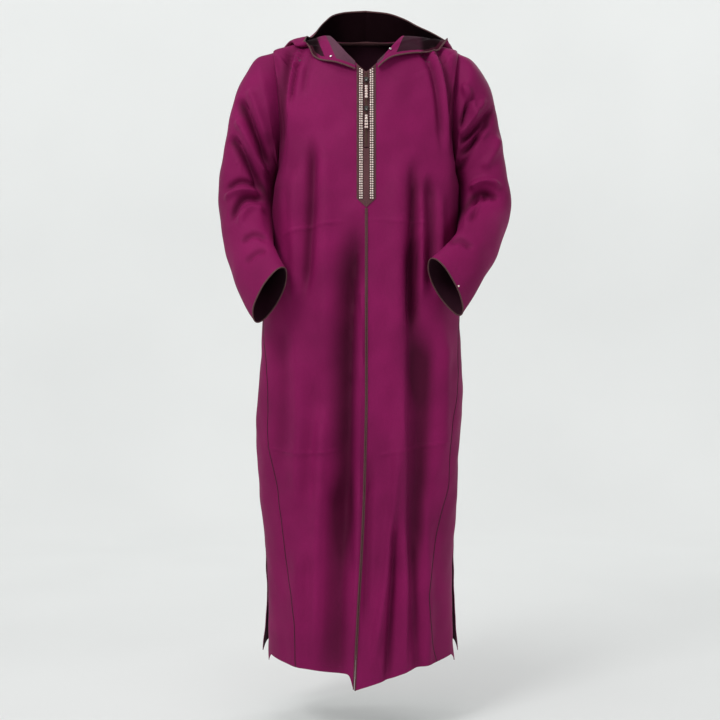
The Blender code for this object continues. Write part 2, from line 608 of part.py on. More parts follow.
def inset(rows, normals):
    """Draw the border of a grid in by half a seam on every side."""
    moved = [list(row) for row in rows]
    last = len(rows[0]) - 1
    for r, row in enumerate(rows):
        moved[r][0] = pulled_in(row, 0, 1)
        moved[r][last] = pulled_in(row, last, last - 1)
    for r, inner in ((0, 1), (len(rows) - 1, len(rows) - 2)):
        for c in range(last + 1):
            moved[r][c] = moved[r][c] + unit(rows[inner][c] - rows[r][c]) * SEAM / 2.0
    return moved


def panel(name, rows, normals, colour="cloth", thickness=CLOTH, border=True):
    flat_rows = inset(rows, normals) if border else rows
    points = [p for row in flat_rows for p in row]
    arrows = [n for row in normals for n in row]
    cells = grid_faces(len(rows), len(rows[0]))
    return wall(name, points, arrows, cells, -thickness / 2.0, thickness / 2.0, colour)


def panels(name, rows, normals):
    """A front or the back as three solids, one above the other, so that each wraps less far."""
    made = []
    for share, low, high in PANEL_SPANS:
        start = STATIONS.index(low)
        end = STATIONS.index(high) + 1
        made.append(panel(name + "_" + share, rows[start:end], normals[start:end]))
    return made


# ---- fronts, gores and back ----------------------------------------------------------------
def inner_offset(station):
    """Distance from the centre line at which a front starts."""
    if station > ZIP_END_STATION - 1e-6:
        return ZIP_HALF
    vent = VENT_TOP_Z - UNDERARM_Z
    if station < vent:
        return 0.0028 * (vent - station) / (vent - STATIONS[0])
    return 0.0


def seam_share(part, side, station):
    """Share of the half width at which the gore seam lies; 1 is the side seam."""
    source = GORE_FRONT if part == "front" else GORE_BACK
    if station > source["station"][-1] + 1e-6:
        return 1.0
    return smooth(source["station"], source["share_left" if side > 0 else "share_right"], station)


def front_turns(side, station):
    last = turn_of_share("front", station, seam_share("front", side, station))
    turns = [turn_at("front", side, station, inner_offset(station)),
             turn_at("front", side, station, PLACKET_MID),
             turn_at("front", side, station, PLACKET_HALF)]
    start = turns[-1]
    turns += [start + (last - start) * k / FRONT_SPREAD for k in range(1, FRONT_SPREAD + 1)]
    return turns


def rows_of(part, side, stations, turns_at):
    rows = []
    normals = []
    for station in stations:
        turns = turns_at(side, station)
        rows.append([torso(part, side, station, t) for t in turns])
        normals.append([edge_normal(part, side, station, t) for t in turns])
    return rows, normals


def back_turns(side, station):
    last = turn_of_share("back", station, seam_share("back", side, station))
    return [last * k / BACK_SPREAD for k in range(BACK_SPREAD + 1)]


def gore_turns(part):
    def turns(side, station):
        start = turn_of_share(part, station, seam_share(part, side, station))
        return [start + (1.0 - start) * k / GORE_SPREAD for k in range(GORE_SPREAD + 1)]
    return turns


GORE_STATIONS = [s for s in STATIONS if s <= GORE_ROWS[-1][0] + 1e-6]

for item in list(bpy.data.objects):
    bpy.data.objects.remove(item)

shell = []
for side in (-1, 1):
    word = SIDE_NAMES[side]
    rows, normals = rows_of("front", side, STATIONS, front_turns)
    shell += panels("front_" + word, rows, normals)
    for part in ("front", "back"):
        rows, normals = rows_of(part, side, GORE_STATIONS, gore_turns(part))
        shell.append(panel(part + "_gore_" + word, rows, normals))
    rings, normals = sleeve_data[side]
    for share, start, end in SLEEVE_SPANS:
        cut = [list(ring) for ring in rings[start:end + 1]]
        cut[0] = [p + unit(q - p) * SEAM / 2.0 for p, q in zip(cut[0], cut[1])]
        if end < len(rings) - 1:
            cut[-1] = [p + unit(q - p) * SEAM / 2.0 for p, q in zip(cut[-1], cut[-2])]
        points = [p for ring in cut for p in ring]
        arrows = [n for ring in normals[start:end + 1] for n in ring]
        cells = grid_faces(len(cut), AROUND, closed=True)
        wall("sleeve_" + word + "_" + share, points, arrows, cells, -CLOTH / 2.0, CLOTH / 2.0,
             "cloth")

back_rows = []
back_normals = []
right_rows, right_normals = rows_of("back", -1, STATIONS, back_turns)
left_rows, left_normals = rows_of("back", 1, STATIONS, back_turns)
for r in range(len(STATIONS)):
    back_rows.append(right_rows[r][:0:-1] + left_rows[r])
    middle = unit(right_normals[r][0] + left_normals[r][0])
    back_normals.append(right_normals[r][:0:-1] + [middle] + left_normals[r][1:])
shell += panels("back", back_rows, back_normals)


# ---- hood ----------------------------------------------------------------------------------
def surface_tree(objects):
    """Search tree of the outer skin of some walls; their outer points come first."""
    vertices = []
    faces = []
    for item in objects:
        start = len(vertices)
        outer = len(item.data.vertices) // 2
        vertices += [v.co.copy() for v in item.data.vertices][:outer]
        for face in item.data.polygons:
            if max(face.vertices) < outer:
                faces.append(tuple(start + i for i in face.vertices))
    return BVHTree.FromPolygons(vertices, faces)


tree = surface_tree(shell)


def clear_of_robe(point, gap):
    """Move a point out until it is a set distance from the robe under it."""
    for _ in range(3):
        spot, normal, _, distance = tree.find_nearest(Vector(point))
        away = Vector(point) - spot
        if away.dot(normal) < 0.0:
            point = np.array(spot + normal * gap)
        elif distance < gap:
            point = np.array(spot + away.normalized() * gap)
        else:
            break
    return point


def laid_on_robe(point, gap):
    """Drop a point onto the robe, with a set space under it."""
    spot, normal, _, _ = tree.find_nearest(Vector(point))
    return np.array(spot + normal * gap)


def neck_point(side, turn):
    if turn <= 1.0:
        return (torso("front", side, NECK_STATION, turn),
                torso_normal("front", side, NECK_STATION, turn))
    return (torso("back", side, NECK_STATION, 2.0 - turn),
            torso_normal("back", side, NECK_STATION, 2.0 - turn))


def sampled(marks, shares):
    """Points at shares of the length of a smooth curve through some marks."""
    lengths = [0.0]
    for a, b in zip(marks[:-1], marks[1:]):
        lengths.append(lengths[-1] + max(1e-4, float(np.linalg.norm(b - a))))
    data = np.array(marks)
    return [np.array([smooth(lengths, data[:, axis], lengths[-1] * share) for axis in range(3)])
            for share in shares]


def hood_curve(side, step):
    """Points from the neck seam, round the pouch, to the rim, at one hood station."""
    rows = HOODS[side]
    keys = np.arange(len(rows["neck"]), dtype=float)
    row = {name: smooth(keys, rows[name], step) for name in rows}
    folded = row["folded"]
    rise = TURN_RISE * min(1.0, folded * RISE_FIRST)
    gap = HOOD_GAP + FOLD_GAP * ramp(step, 4.0, 6.0)
    seam, arrow = neck_point(side, row["neck"])
    neck = seam + arrow * (CLOTH + NECK_LAY)
    turn = np.array((side * row["turn_x"], row["turn_y"], row["turn_z"]))
    rim = np.array((side * row["rim_x"], row["rim_y"], row["rim_z"]))
    outward = unit(np.array((turn[0], max(turn[1], 0.0) + 0.02, 0.02)))
    lift = outward * HOOD_REACH * row["puff"]
    spot, away, _, _ = tree.find_nearest(Vector(turn))
    laid_turn = np.array(spot + away * gap)
    fold_in = laid_turn * folded + (neck + (rim - neck) * FLAT_FOLD[0]) * (1.0 - folded)
    raised = laid_turn + np.array(away) * rise
    fold_out = raised * folded + (neck + (rim - neck) * FLAT_FOLD[1]) * (1.0 - folded)
    rim = clear_of_robe(rim, gap + rise)
    fold_out = clear_of_robe(fold_out, gap + rise)
    apart = rim - fold_out
    short = MIN_RUN ** 2 - float(np.dot(apart, apart))
    if folded > 0.0 and short > 0.0:
        rising = unit(np.array(away) * RISE_LEAN + np.array((0.0, 0.0, 1.0)))
        along = float(np.dot(apart, rising))
        rim = rim + rising * (math.sqrt(along * along + short) - along)
    under = [laid_on_robe(neck + (fold_in - neck) * share + lift, gap) for share in UNDER_SHARES]
    over = [fold_out + (rim - fold_out) * share + outward * row["puff"] * bulge
            for share, bulge in OVER_SHARES]
    power = 1.0 + 0.6 * folded
    lower = sampled([neck] + under + [fold_in],
                    [(k / HOOD_LOWER) ** power for k in range(HOOD_LOWER + 1)])
    run = float(np.linalg.norm(over[1] - fold_out) + np.linalg.norm(rim - over[1]))
    last = 1.0 - BINDING_WRAP / run
    upper = sampled([fold_out] + over + [rim],
                    [last * k / HOOD_UPPER for k in range(HOOD_UPPER + 1)] + [1.0])
    curve = [neck]
    for k, point in enumerate(lower[1:], 1):
        curve.append(clear_of_robe(point, HOOD_GAP + (gap - HOOD_GAP) * ramp(k, 0.0, 1.5)))
    for point in upper:
        curve.append(clear_of_robe(point, gap + rise))
    return curve


def grid_normals(rows, towards):
    """Normals of an open grid, turned so that they point along a rule."""
    result = []
    last_row = len(rows) - 1
    last = len(rows[0]) - 1
    for r in range(last_row + 1):
        line = []
        for c in range(last + 1):
            along = rows[min(last_row, r + 1)][c] - rows[max(0, r - 1)][c]
            across = np.zeros(3)
            if c > 0:
                across = across + unit(rows[r][c] - rows[r][c - 1])
            if c < last:
                across = across + unit(rows[r][c + 1] - rows[r][c])
            line.append(towards * unit(np.cross(along, across)))
        result.append(line)
    return result


def edge_binding(name, edge, inner, edge_arrows, inner_arrows, lay, closed):
    """Band folded over an edge; it ends on the first line of points in from the edge."""
    hollow = CLOTH / 2.0 + lay
    skin = hollow + BINDING_CLOTH
    vertices = []
    for tip, back, arrow, back_arrow in zip(edge, inner, edge_arrows, inner_arrows):
        outward = unit(tip - back)
        near = tip + outward * lay
        far = near + outward * BINDING_CLOTH
        vertices += [back + back_arrow * skin, far + arrow * skin, far - arrow * skin,
                     back - back_arrow * skin, back - back_arrow * hollow, near - arrow * hollow,
                     near + arrow * hollow, back + back_arrow * hollow]
    around = 8
    rows = len(edge)
    faces = []
    for r in range(rows if closed else rows - 1):
        following = (r + 1) % rows
        for c in range(around):
            d = (c + 1) % around
            faces.append((r * around + c, r * around + d,
                          following * around + d, following * around + c))
    if not closed:
        faces.append(tuple(range(around)))
        faces.append(tuple((rows - 1) * around + c for c in reversed(range(around))))
    return place(name, vertices, faces, "trim")


for side in (-1, 1):
    word = SIDE_NAMES[side]
    rows = [hood_curve(side, step) for step in HOOD_STEPS[side]]
    rows[-1] = [np.array((0.0, p[1], p[2])) for p in rows[-1]]
    normals = grid_normals(rows, float(-side))
    for c, normal in enumerate(normals[-1]):
        normals[-1][c] = unit(np.array((0.0, normal[1], normal[2])))
    rows[-1] = [p + np.array((side * SEAM / 2.0, 0.0, 0.0)) for p in rows[-1]]
    panel("hood_" + word, rows, normals, border=False)
    edge_binding("hood_binding_" + word, [row[-1] for row in rows], [row[-2] for row in rows],
                 [row[-1] for row in normals], [row[-2] for row in normals], RIM_LAY, False)


# ---- placket, bead strips, zip and cords ---------------------------------------------------
def over_front(offset, station, height):
    """Point a set height over the fronts at a signed distance from the centre line."""
    side = -1 if offset < 0.0 else 1
    turn = turn_at("front", side, station, abs(offset))
    arrow = torso_normal("front", side, station, turn)
    if offset == 0.0:
        arrow = unit(arrow + torso_normal("front", -side, station, turn))
    return torso("front", side, station, turn) + arrow * height, arrow


def strip(name, stations, offsets_at, base, height, colour, keep=None, rough=0.85):
    """Wall on the fronts between two heights; offsets_at gives the columns of each row."""
    points = []
    arrows = []
    for r, station in enumerate(stations):
        for offset in offsets_at(r, station):
            point, arrow = over_front(offset, station, 0.0)
            points.append(point)
            arrows.append(arrow)
    columns = len(offsets_at(0, stations[0]))
    cells = grid_faces(len(stations), columns, keep)
    return wall(name, points, arrows, cells, base, base + height, colour, rough)


PLACKET_BASE = CLOTH / 2.0 + LAY
BEAD_BASE = PLACKET_BASE + PLACKET_CLOTH + LAY
placket_stations = [s for s in STATIONS if s >= PLACKET_SHOULDER_Z - UNDERARM_Z - 1e-6]
point_station = PLACKET_POINT_Z - UNDERARM_Z
placket_columns = (-PLACKET_HALF, -PLACKET_MID, -ZIP_HALF - SEAM, 0.0,
                   ZIP_HALF + SEAM, PLACKET_MID, PLACKET_HALF)


def placket_offsets(row, station):
    if row == 0:
        return tuple(value * 0.02 for value in placket_columns)
    return placket_columns


def placket_keep(row, column):
    return column not in (2, 3) or placket_rows[row + 1] <= ZIP_END_STATION + 1e-6


placket_rows = [point_station + 0.0004] + placket_stations
strip("placket", placket_rows, placket_offsets, PLACKET_BASE, PLACKET_CLOTH, "trim", placket_keep)
bead_rows = placket_stations
for side in (-1, 1):
    word = SIDE_NAMES[side]
    inner = side * BEAD_IN
    outer = side * BEAD_OUT
    middle = side * PLACKET_MID
    strip("bead_strip_" + word, bead_rows, lambda r, s: (inner, middle, outer),
          BEAD_BASE, BEAD_HEIGHT, "cream", rough=0.5)

zip_rows = [s for s in YOKE_STATIONS if s > ZIP_END_STATION - 1e-6]
zip_rows[0] += 0.003
tape = ZIP_HALF - SEAM
strip("zip_tape", zip_rows, lambda r, s: (-tape, 0.0, tape), -ZIP_TAPE / 2.0, ZIP_TAPE, "trim")
chain_rows = [zip_rows[0] + 0.002] + zip_rows[1:-1] + [zip_rows[-1] - 0.002]
CHAIN_BASE = ZIP_TAPE / 2.0 + LAY
strip("zip_chain", chain_rows, lambda r, s: (-CHAIN_HALF, 0.0, CHAIN_HALF), CHAIN_BASE,
      CHAIN_HEIGHT, "brass", rough=0.4)

cord_rows = [s for s in BODY_STATIONS if s <= point_station - 0.003]
cord_rows.append(point_station - 0.0030)
for side in (-1, 1):
    def cord_offsets(row, station, side=side):
        start = max(inner_offset(station), 0.0) + SEAM
        return (side * start, side * (start + CORD_WIDTH))

    strip("front_cord_" + SIDE_NAMES[side], cord_rows, cord_offsets, PLACKET_BASE, CORD_HEIGHT,
          "trim")


# ---- sliders and pulls ---------------------------------------------------------------------
def station_at_height(height):
    low = YOKE_STATIONS[0]
    high = YOKE_STATIONS[-1]
    for _ in range(40):
        middle = (low + high) / 2.0
        if level("front", middle)["mid_z"] < height:
            low = middle
        else:
            high = middle
    return low


def slider(name, height):
    """Slider round the chain with two posts and a bar; returns where the bar is."""
    station = station_at_height(height)
    point, arrow = over_front(0.0, station, 0.0)
    high_point, _ = over_front(0.0, station + 0.004, 0.0)
    low_point, _ = over_front(0.0, station - 0.004, 0.0)
    up = unit(high_point - low_point)
    out = unit(arrow - up * np.dot(arrow, up))
    across = unit(np.cross(up, out))
    if across[0] < 0.0:
        across = -across
    chain_top = CHAIN_BASE + CHAIN_HEIGHT
    under = ZIP_TAPE / 2.0 + LAY
    slot = CHAIN_HALF + 0.0004
    roof = chain_top + 0.0004
    face = roof + 0.0010
    profile = ((-SLIDER_HALF, under), (-slot, under), (-slot, roof), (slot, roof), (slot, under),
               (SLIDER_HALF, under), (SLIDER_HALF, face - 0.0005), (SLIDER_HALF - 0.0006, face),
               (-SLIDER_HALF + 0.0006, face), (-SLIDER_HALF, face - 0.0005))
    frames = []
    for along, shrink in ((-0.5, 0.86), (-0.3, 1.0), (0.1, 1.0), (0.5, 0.88)):
        centre = point + up * (SLIDER_LENGTH * along + BAR_SET)
        frames.append((centre, across, out))
    body = sweep(name, frames, profile, "metal", rough=0.3, metal=1.0)
    bar = point + out * (face + BAR_REACH)
    end, end_arrow = over_front(0.0, station_at_height(height - PULL_LENGTH), 0.0)
    hang = unit(bar - end - end_arrow * (face + BAR_REACH))
    arch = []
    reach = POST_OUT
    posts = ((-reach, face - 0.0004), (-reach, face + BAR_REACH + BAR_RADIUS),
             (reach, face + BAR_REACH + BAR_RADIUS), (reach, face - 0.0004),
             (POST_IN, face - 0.0004), (POST_IN, face + BAR_REACH - BAR_RADIUS),
             (-POST_IN, face + BAR_REACH - BAR_RADIUS), (-POST_IN, face - 0.0004))
    for along in (-BAR_RADIUS, BAR_RADIUS):
        arch.append((point + up * along, across, out))
    bail = sweep(name + "_bail", arch, posts, "metal", rough=0.3, metal=1.0)
    join = body.modifiers.new("bail", "BOOLEAN")
    join.operation = "UNION"
    join.solver = "EXACT"
    join.object = bail
    bail.hide_render = True
    bail.display_type = "WIRE"
    return bar, hang


def lathe(profile, around=10):
    """Solid of revolution about the local Z axis from (radius, z) pairs, tip to tip."""
    vertices = [(0.0, 0.0, profile[0][1])]
    for radius, z in profile[1:-1]:
        for k in range(around):
            angle = 2.0 * math.pi * k / around
            vertices.append((radius * math.cos(angle), radius * math.sin(angle), z))
    vertices.append((0.0, 0.0, profile[-1][1]))
    rings = len(profile) - 2
    faces = [(0, 1 + (k + 1) % around, 1 + k) for k in range(around)]
    for r in range(rings - 1):
        for k in range(around):
            a = 1 + r * around + k
            b = 1 + r * around + (k + 1) % around
            faces.append((a, b, b + around, a + around))
    end = len(vertices) - 1
    start = 1 + (rings - 1) * around
    faces += [(start + k, start + (k + 1) % around, end) for k in range(around)]
    return vertices, faces


def pull(name, hinge, beads):
    """Row of beads on a wire, hung from the slider bar by an eye; turns about X at the bar."""
    bar, hang = hinge
    lean = np.cross(hang, np.array((1.0, 0.0, 0.0)))
    profile = [(0.0, -EYE_INNER - 0.0003), (0.0007, -EYE_INNER - 0.0004)]
    for drop, radius, half in beads:
        profile += [(0.0008, -drop + half), (radius * 0.75, -drop + half * 0.66),
                    (radius, -drop + half * 0.18), (radius, -drop - half * 0.18),
                    (radius * 0.75, -drop - half * 0.66), (0.0008, -drop - half + 0.0001)]
    profile.append((0.0, -beads[-1][0] - beads[-1][2]))
    vertices, faces = lathe(profile)
    moved = [bar + np.array((x, 0.0, 0.0)) + lean * y + hang * z for x, y, z in vertices]
    body = place(name, moved, faces, "cream", rough=0.35, origin=tuple(bar))
    frames = []
    steps = 12
    for k in range(steps):
        angle = 2.0 * math.pi * k / steps
        direction = np.array((0.0, math.cos(angle), math.sin(angle)))
        frames.append((bar, np.array((1.0, 0.0, 0.0)), direction))
    ring = ((-EYE_HALF, EYE_INNER), (EYE_HALF, EYE_INNER), (EYE_HALF, EYE_OUTER),
            (-EYE_HALF, EYE_OUTER))
    eye = sweep(name + "_eye", frames, ring, "metal", closed=True, origin=tuple(bar))
    join = body.modifiers.new("eye", "BOOLEAN")
    join.operation = "UNION"
    join.solver = "EXACT"
    join.object = eye
    eye.hide_render = True
    eye.display_type = "WIRE"
    return body


pull("pull_upper", slider("zip_slider_upper", SLIDER_UPPER_Z), PULL_UPPER_BEADS)
pull("pull_lower", slider("zip_slider_lower", SLIDER_LOWER_Z), PULL_LOWER_BEADS)


# ---- cuffs, cuff bead and snaps ------------------------------------------------------------
def stud(name, base, arrow, profile, colour, metal):
    """Small turned piece standing on a place of the cloth."""
    vertices, faces = lathe(profile)
    aside = unit(np.cross(arrow, np.array((0.0, 0.0, 1.0))))
    ahead = np.cross(arrow, aside)
    moved = [base + aside * x + ahead * y + arrow * z for x, y, z in vertices]
    return place(name, moved, faces, colour, rough=0.3, metal=metal)


for side in (-1, 1):
    rings, normals = sleeve_data[side]
    inner = [tip + unit(back - tip) * BINDING_WRAP for tip, back in zip(rings[-1], rings[-2])]
    edge_binding("cuff_binding_" + SIDE_NAMES[side], rings[-1], inner, normals[-1], normals[-1],
                 CUFF_LAY, True)

CUFF_BEAD_RING = 2      # the bead lies between this ring point of the left cuff and the next
rings, normals = sleeve_data[1]
seat = (rings[-1][CUFF_BEAD_RING] + rings[-1][CUFF_BEAD_RING + 1]) / 2.0
arrow = unit(normals[-1][CUFF_BEAD_RING] + normals[-1][CUFF_BEAD_RING + 1])
seat = seat + unit(rings[-2][CUFF_BEAD_RING] - rings[-1][CUFF_BEAD_RING]) * BINDING_WRAP / 2.0
seat = seat + arrow * (CLOTH / 2.0 + CUFF_LAY + BINDING_CLOTH + LAY)
size = CUFF_BEAD_RADIUS
stud("cuff_bead", seat, arrow,
     ((0.0, 0.0), (size * 0.7, size * 0.3), (size, size), (size * 0.7, size * 1.7),
      (0.0, size * 2.0)), "cream", 0.0)

for side, station, column, share in SNAP_ROWS:
    curve = hood_curve(side, station)
    ahead = hood_curve(side, station + 0.1)
    seat = curve[column] + (curve[column + 1] - curve[column]) * share
    arrow = -side * unit(np.cross(ahead[column] - curve[column], curve[column + 1] - curve[column]))
    base = seat + arrow * (CLOTH / 2.0 + SNAP_LAY)
    stud("hood_snap_" + SIDE_NAMES[side], base, arrow,
         ((0.0, 0.0), (SNAP_RADIUS, 0.0001), (SNAP_RADIUS, SNAP_HEIGHT * 0.6),
          (SNAP_RADIUS * 0.5, SNAP_HEIGHT), (0.0, SNAP_HEIGHT)), "metal", 1.0)
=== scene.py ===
"""Djellaba robe: plum twill cloth, brown braid and binding, beaded placket, zip with beaded pulls.

Metres, +Z up, the front faces -Y, +X is the wearer's left. Every piece is built on the form of its
solid in the frame, from the tables below.
"""
import json
import math

import bpy
import numpy as np
from bpy.props import FloatProperty, FloatVectorProperty, IntProperty, PointerProperty
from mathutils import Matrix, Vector
from mathutils.bvhtree import BVHTree

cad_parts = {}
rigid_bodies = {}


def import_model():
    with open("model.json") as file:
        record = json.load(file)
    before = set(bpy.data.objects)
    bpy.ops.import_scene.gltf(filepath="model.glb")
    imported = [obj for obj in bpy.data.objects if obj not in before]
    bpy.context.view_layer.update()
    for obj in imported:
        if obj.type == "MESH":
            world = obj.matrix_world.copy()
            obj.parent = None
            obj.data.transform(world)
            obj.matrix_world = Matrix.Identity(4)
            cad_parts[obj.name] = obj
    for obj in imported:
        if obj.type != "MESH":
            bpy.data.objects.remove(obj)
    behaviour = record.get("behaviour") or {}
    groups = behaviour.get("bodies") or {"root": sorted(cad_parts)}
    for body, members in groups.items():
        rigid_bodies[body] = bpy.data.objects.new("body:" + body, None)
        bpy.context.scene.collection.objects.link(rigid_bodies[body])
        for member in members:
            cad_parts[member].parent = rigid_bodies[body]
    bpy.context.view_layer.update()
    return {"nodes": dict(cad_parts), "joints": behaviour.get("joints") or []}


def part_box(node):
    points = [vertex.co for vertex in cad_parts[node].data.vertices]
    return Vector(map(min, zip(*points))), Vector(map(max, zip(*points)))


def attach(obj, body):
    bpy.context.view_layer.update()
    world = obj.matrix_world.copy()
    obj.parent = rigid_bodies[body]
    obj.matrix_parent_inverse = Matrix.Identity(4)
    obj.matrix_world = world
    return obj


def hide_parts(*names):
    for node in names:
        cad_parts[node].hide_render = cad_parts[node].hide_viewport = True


bl_info = {
    "name": "Djellaba robe",
    "version": (1, 0, 0),
    "blender": (4, 5, 0),
    "location": "3D View > Sidebar > Robe",
    "description": "Builds a hooded djellaba robe, worn and hollow, with its trims",
    "category": "Object",
}

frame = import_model()
JOINTS = {joint["name"]: joint for joint in frame["joints"]}

# ---- the torso, a row for each level -------------------------------------------------------
FRONT_COLUMNS = ("station", "mid_x", "mid_y", "mid_z", "edge_right", "edge_left",
                 "edge_y", "edge_z", "plan", "rise")
FRONT_ROWS = (
    (-1.120, -0.0245, -0.168, -1.410, 0.2185, 0.2010, -0.026, -1.410, 2.10, 2.0),
    (-0.960, -0.0165, -0.166, -1.250, 0.2225, 0.1945, -0.010, -1.250, 2.10, 2.0),
    (-0.840, -0.0095, -0.164, -1.130, 0.2320, 0.2000, 0.000, -1.130, 2.15, 2.0),
    (-0.740, -0.0050, -0.162, -1.030, 0.2440, 0.2080, 0.000, -1.030, 2.20, 2.0),
    (-0.640, -0.0025, -0.160, -0.930, 0.2505, 0.2140, 0.000, -0.930, 2.25, 2.0),
    (-0.510, 0.0000, -0.160, -0.800, 0.2465, 0.2205, 0.000, -0.800, 2.30, 2.0),
    (-0.370, 0.0000, -0.160, -0.660, 0.2370, 0.2140, 0.000, -0.660, 2.40, 2.0),
    (-0.230, 0.0000, -0.157, -0.520, 0.2200, 0.2100, 0.000, -0.520, 2.55, 2.0),
    (-0.110, 0.0000, -0.151, -0.400, 0.2125, 0.2125, 0.000, -0.400, 2.75, 2.0),
    (-0.045, 0.0000, -0.147, -0.335, 0.2095, 0.2100, 0.000, -0.335, 2.90, 2.0),
    (0.000, 0.0000, -0.144, -0.290, 0.2010, 0.2010, 0.000, -0.290, 2.95, 2.0),
    (0.040, 0.0000, -0.143, -0.270, 0.1985, 0.1985, -0.035, -0.280, 2.80, 2.0),
    (0.080, 0.0000, -0.142, -0.250, 0.1965, 0.1965, -0.062, -0.255, 2.55, 2.0),
    (0.128, 0.0000, -0.140, -0.226, 0.1940, 0.1940, -0.080, -0.215, 2.30, 2.0),
    (0.180, 0.0000, -0.138, -0.200, 0.1960, 0.1950, -0.088, -0.165, 2.25, 2.0),
    (0.232, 0.0000, -0.136, -0.174, 0.2000, 0.1980, -0.083, -0.115, 2.20, 2.0),
    (0.280, 0.0000, -0.134, -0.150, 0.2060, 0.2030, -0.063, -0.066, 2.20, 2.0),
    (0.316, 0.0000, -0.132, -0.133, 0.2100, 0.2070, -0.034, -0.034, 2.15, 1.9),
    (0.344, 0.0000, -0.130, -0.118, 0.2120, 0.2090, 0.000, -0.021, 2.10, 1.8),
    (0.364, 0.0000, -0.1285, -0.109, 0.1700, 0.1700, 0.000, -0.007, 2.05, 1.65),
    (0.382, 0.0000, -0.127, -0.100, 0.1250, 0.1250, 0.000, 0.004, 2.00, 1.45),
    (0.400, 0.0000, -0.125, -0.091, 0.0850, 0.0850, 0.000, 0.012, 2.00, 1.25),
)
BACK_COLUMNS = ("station", "mid_y", "mid_z", "edge_right", "edge_left",
                "edge_y", "edge_z", "plan", "rise")
BACK_ROWS = (
    (-1.120, 0.152, -1.410, 0.2360, 0.2140, 0.026, -1.400, 2.10, 2.0),
    (-0.960, 0.151, -1.250, 0.2290, 0.2000, 0.010, -1.250, 2.10, 2.0),
    (-0.840, 0.150, -1.130, 0.2320, 0.2000, 0.000, -1.130, 2.15, 2.0),
    (-0.740, 0.148, -1.030, 0.2440, 0.2080, 0.000, -1.030, 2.20, 2.0),
    (-0.640, 0.146, -0.930, 0.2505, 0.2140, 0.000, -0.930, 2.25, 2.0),
    (-0.510, 0.143, -0.800, 0.2465, 0.2205, 0.000, -0.800, 2.30, 2.0),
    (-0.370, 0.136, -0.660, 0.2370, 0.2140, 0.000, -0.660, 2.40, 2.0),
    (-0.230, 0.127, -0.520, 0.2200, 0.2100, 0.000, -0.520, 2.55, 2.0),
    (-0.110, 0.123, -0.400, 0.2125, 0.2125, 0.000, -0.400, 2.75, 2.0),
    (-0.045, 0.1235, -0.335, 0.2095, 0.2100, 0.000, -0.335, 2.90, 2.0),
    (0.000, 0.124, -0.290, 0.2010, 0.2010, 0.000, -0.290, 2.95, 2.0),
    (0.040, 0.126, -0.258, 0.1985, 0.1985, 0.033, -0.280, 2.80, 2.0),
    (0.080, 0.128, -0.223, 0.1965, 0.1965, 0.060, -0.255, 2.55, 2.0),
    (0.128, 0.129, -0.183, 0.1940, 0.1940, 0.078, -0.215, 2.30, 2.0),
    (0.180, 0.128, -0.140, 0.1960, 0.1950, 0.086, -0.165, 2.25, 2.0),
    (0.232, 0.124, -0.096, 0.2000, 0.1980, 0.080, -0.115, 2.20, 2.0),
    (0.280, 0.116, -0.057, 0.2060, 0.2030, 0.060, -0.066, 2.20, 2.0),
    (0.316, 0.106, -0.028, 0.2100, 0.2070, 0.032, -0.034, 2.15, 1.9),
    (0.344, 0.096, -0.006, 0.2120, 0.2090, 0.000, -0.021, 2.10, 1.8),
    (0.364, 0.088, 0.006, 0.1700, 0.1700, 0.000, -0.007, 2.05, 1.65),
    (0.382, 0.081, 0.014, 0.1250, 0.1250, 0.000, 0.004, 2.00, 1.45),
    (0.400, 0.075, 0.020, 0.0850, 0.0850, 0.000, 0.012, 2.00, 1.25),
)
GORE_COLUMNS = ("station", "share_right", "share_left")
GORE_ROWS = (
    (-1.120, 0.647, 0.800),
    (-1.030, 0.662, 0.728),
    (-0.960, 0.709, 0.705),
    (-0.880, 0.762, 0.755),
    (-0.790, 0.785, 0.810),
    (-0.710, 0.808, 0.880),
    (-0.610, 0.880, 0.870),
    (-0.510, 0.895, 0.925),
    (-0.410, 0.945, 0.965),
    (-0.310, 0.999995, 0.999995),
)
BACK_GORE_ROWS = (
    (-1.120, 0.700, 0.700),
    (-0.960, 0.740, 0.740),
    (-0.790, 0.800, 0.800),
    (-0.610, 0.870, 0.870),
    (-0.410, 0.950, 0.950),
    (-0.310, 0.999995, 0.999995),
)
HEM_STATION = -1.120
GORE_TOP = -0.310
TIP_STATION = 0.344
NECK_STATION = 0.400
VENT_STATION = -1.030
ZIP_END = 0.056
ARM_STATIONS = (0.0, 0.056, 0.090, 0.130, 0.180, 0.232, 0.280, 0.316, 0.344)

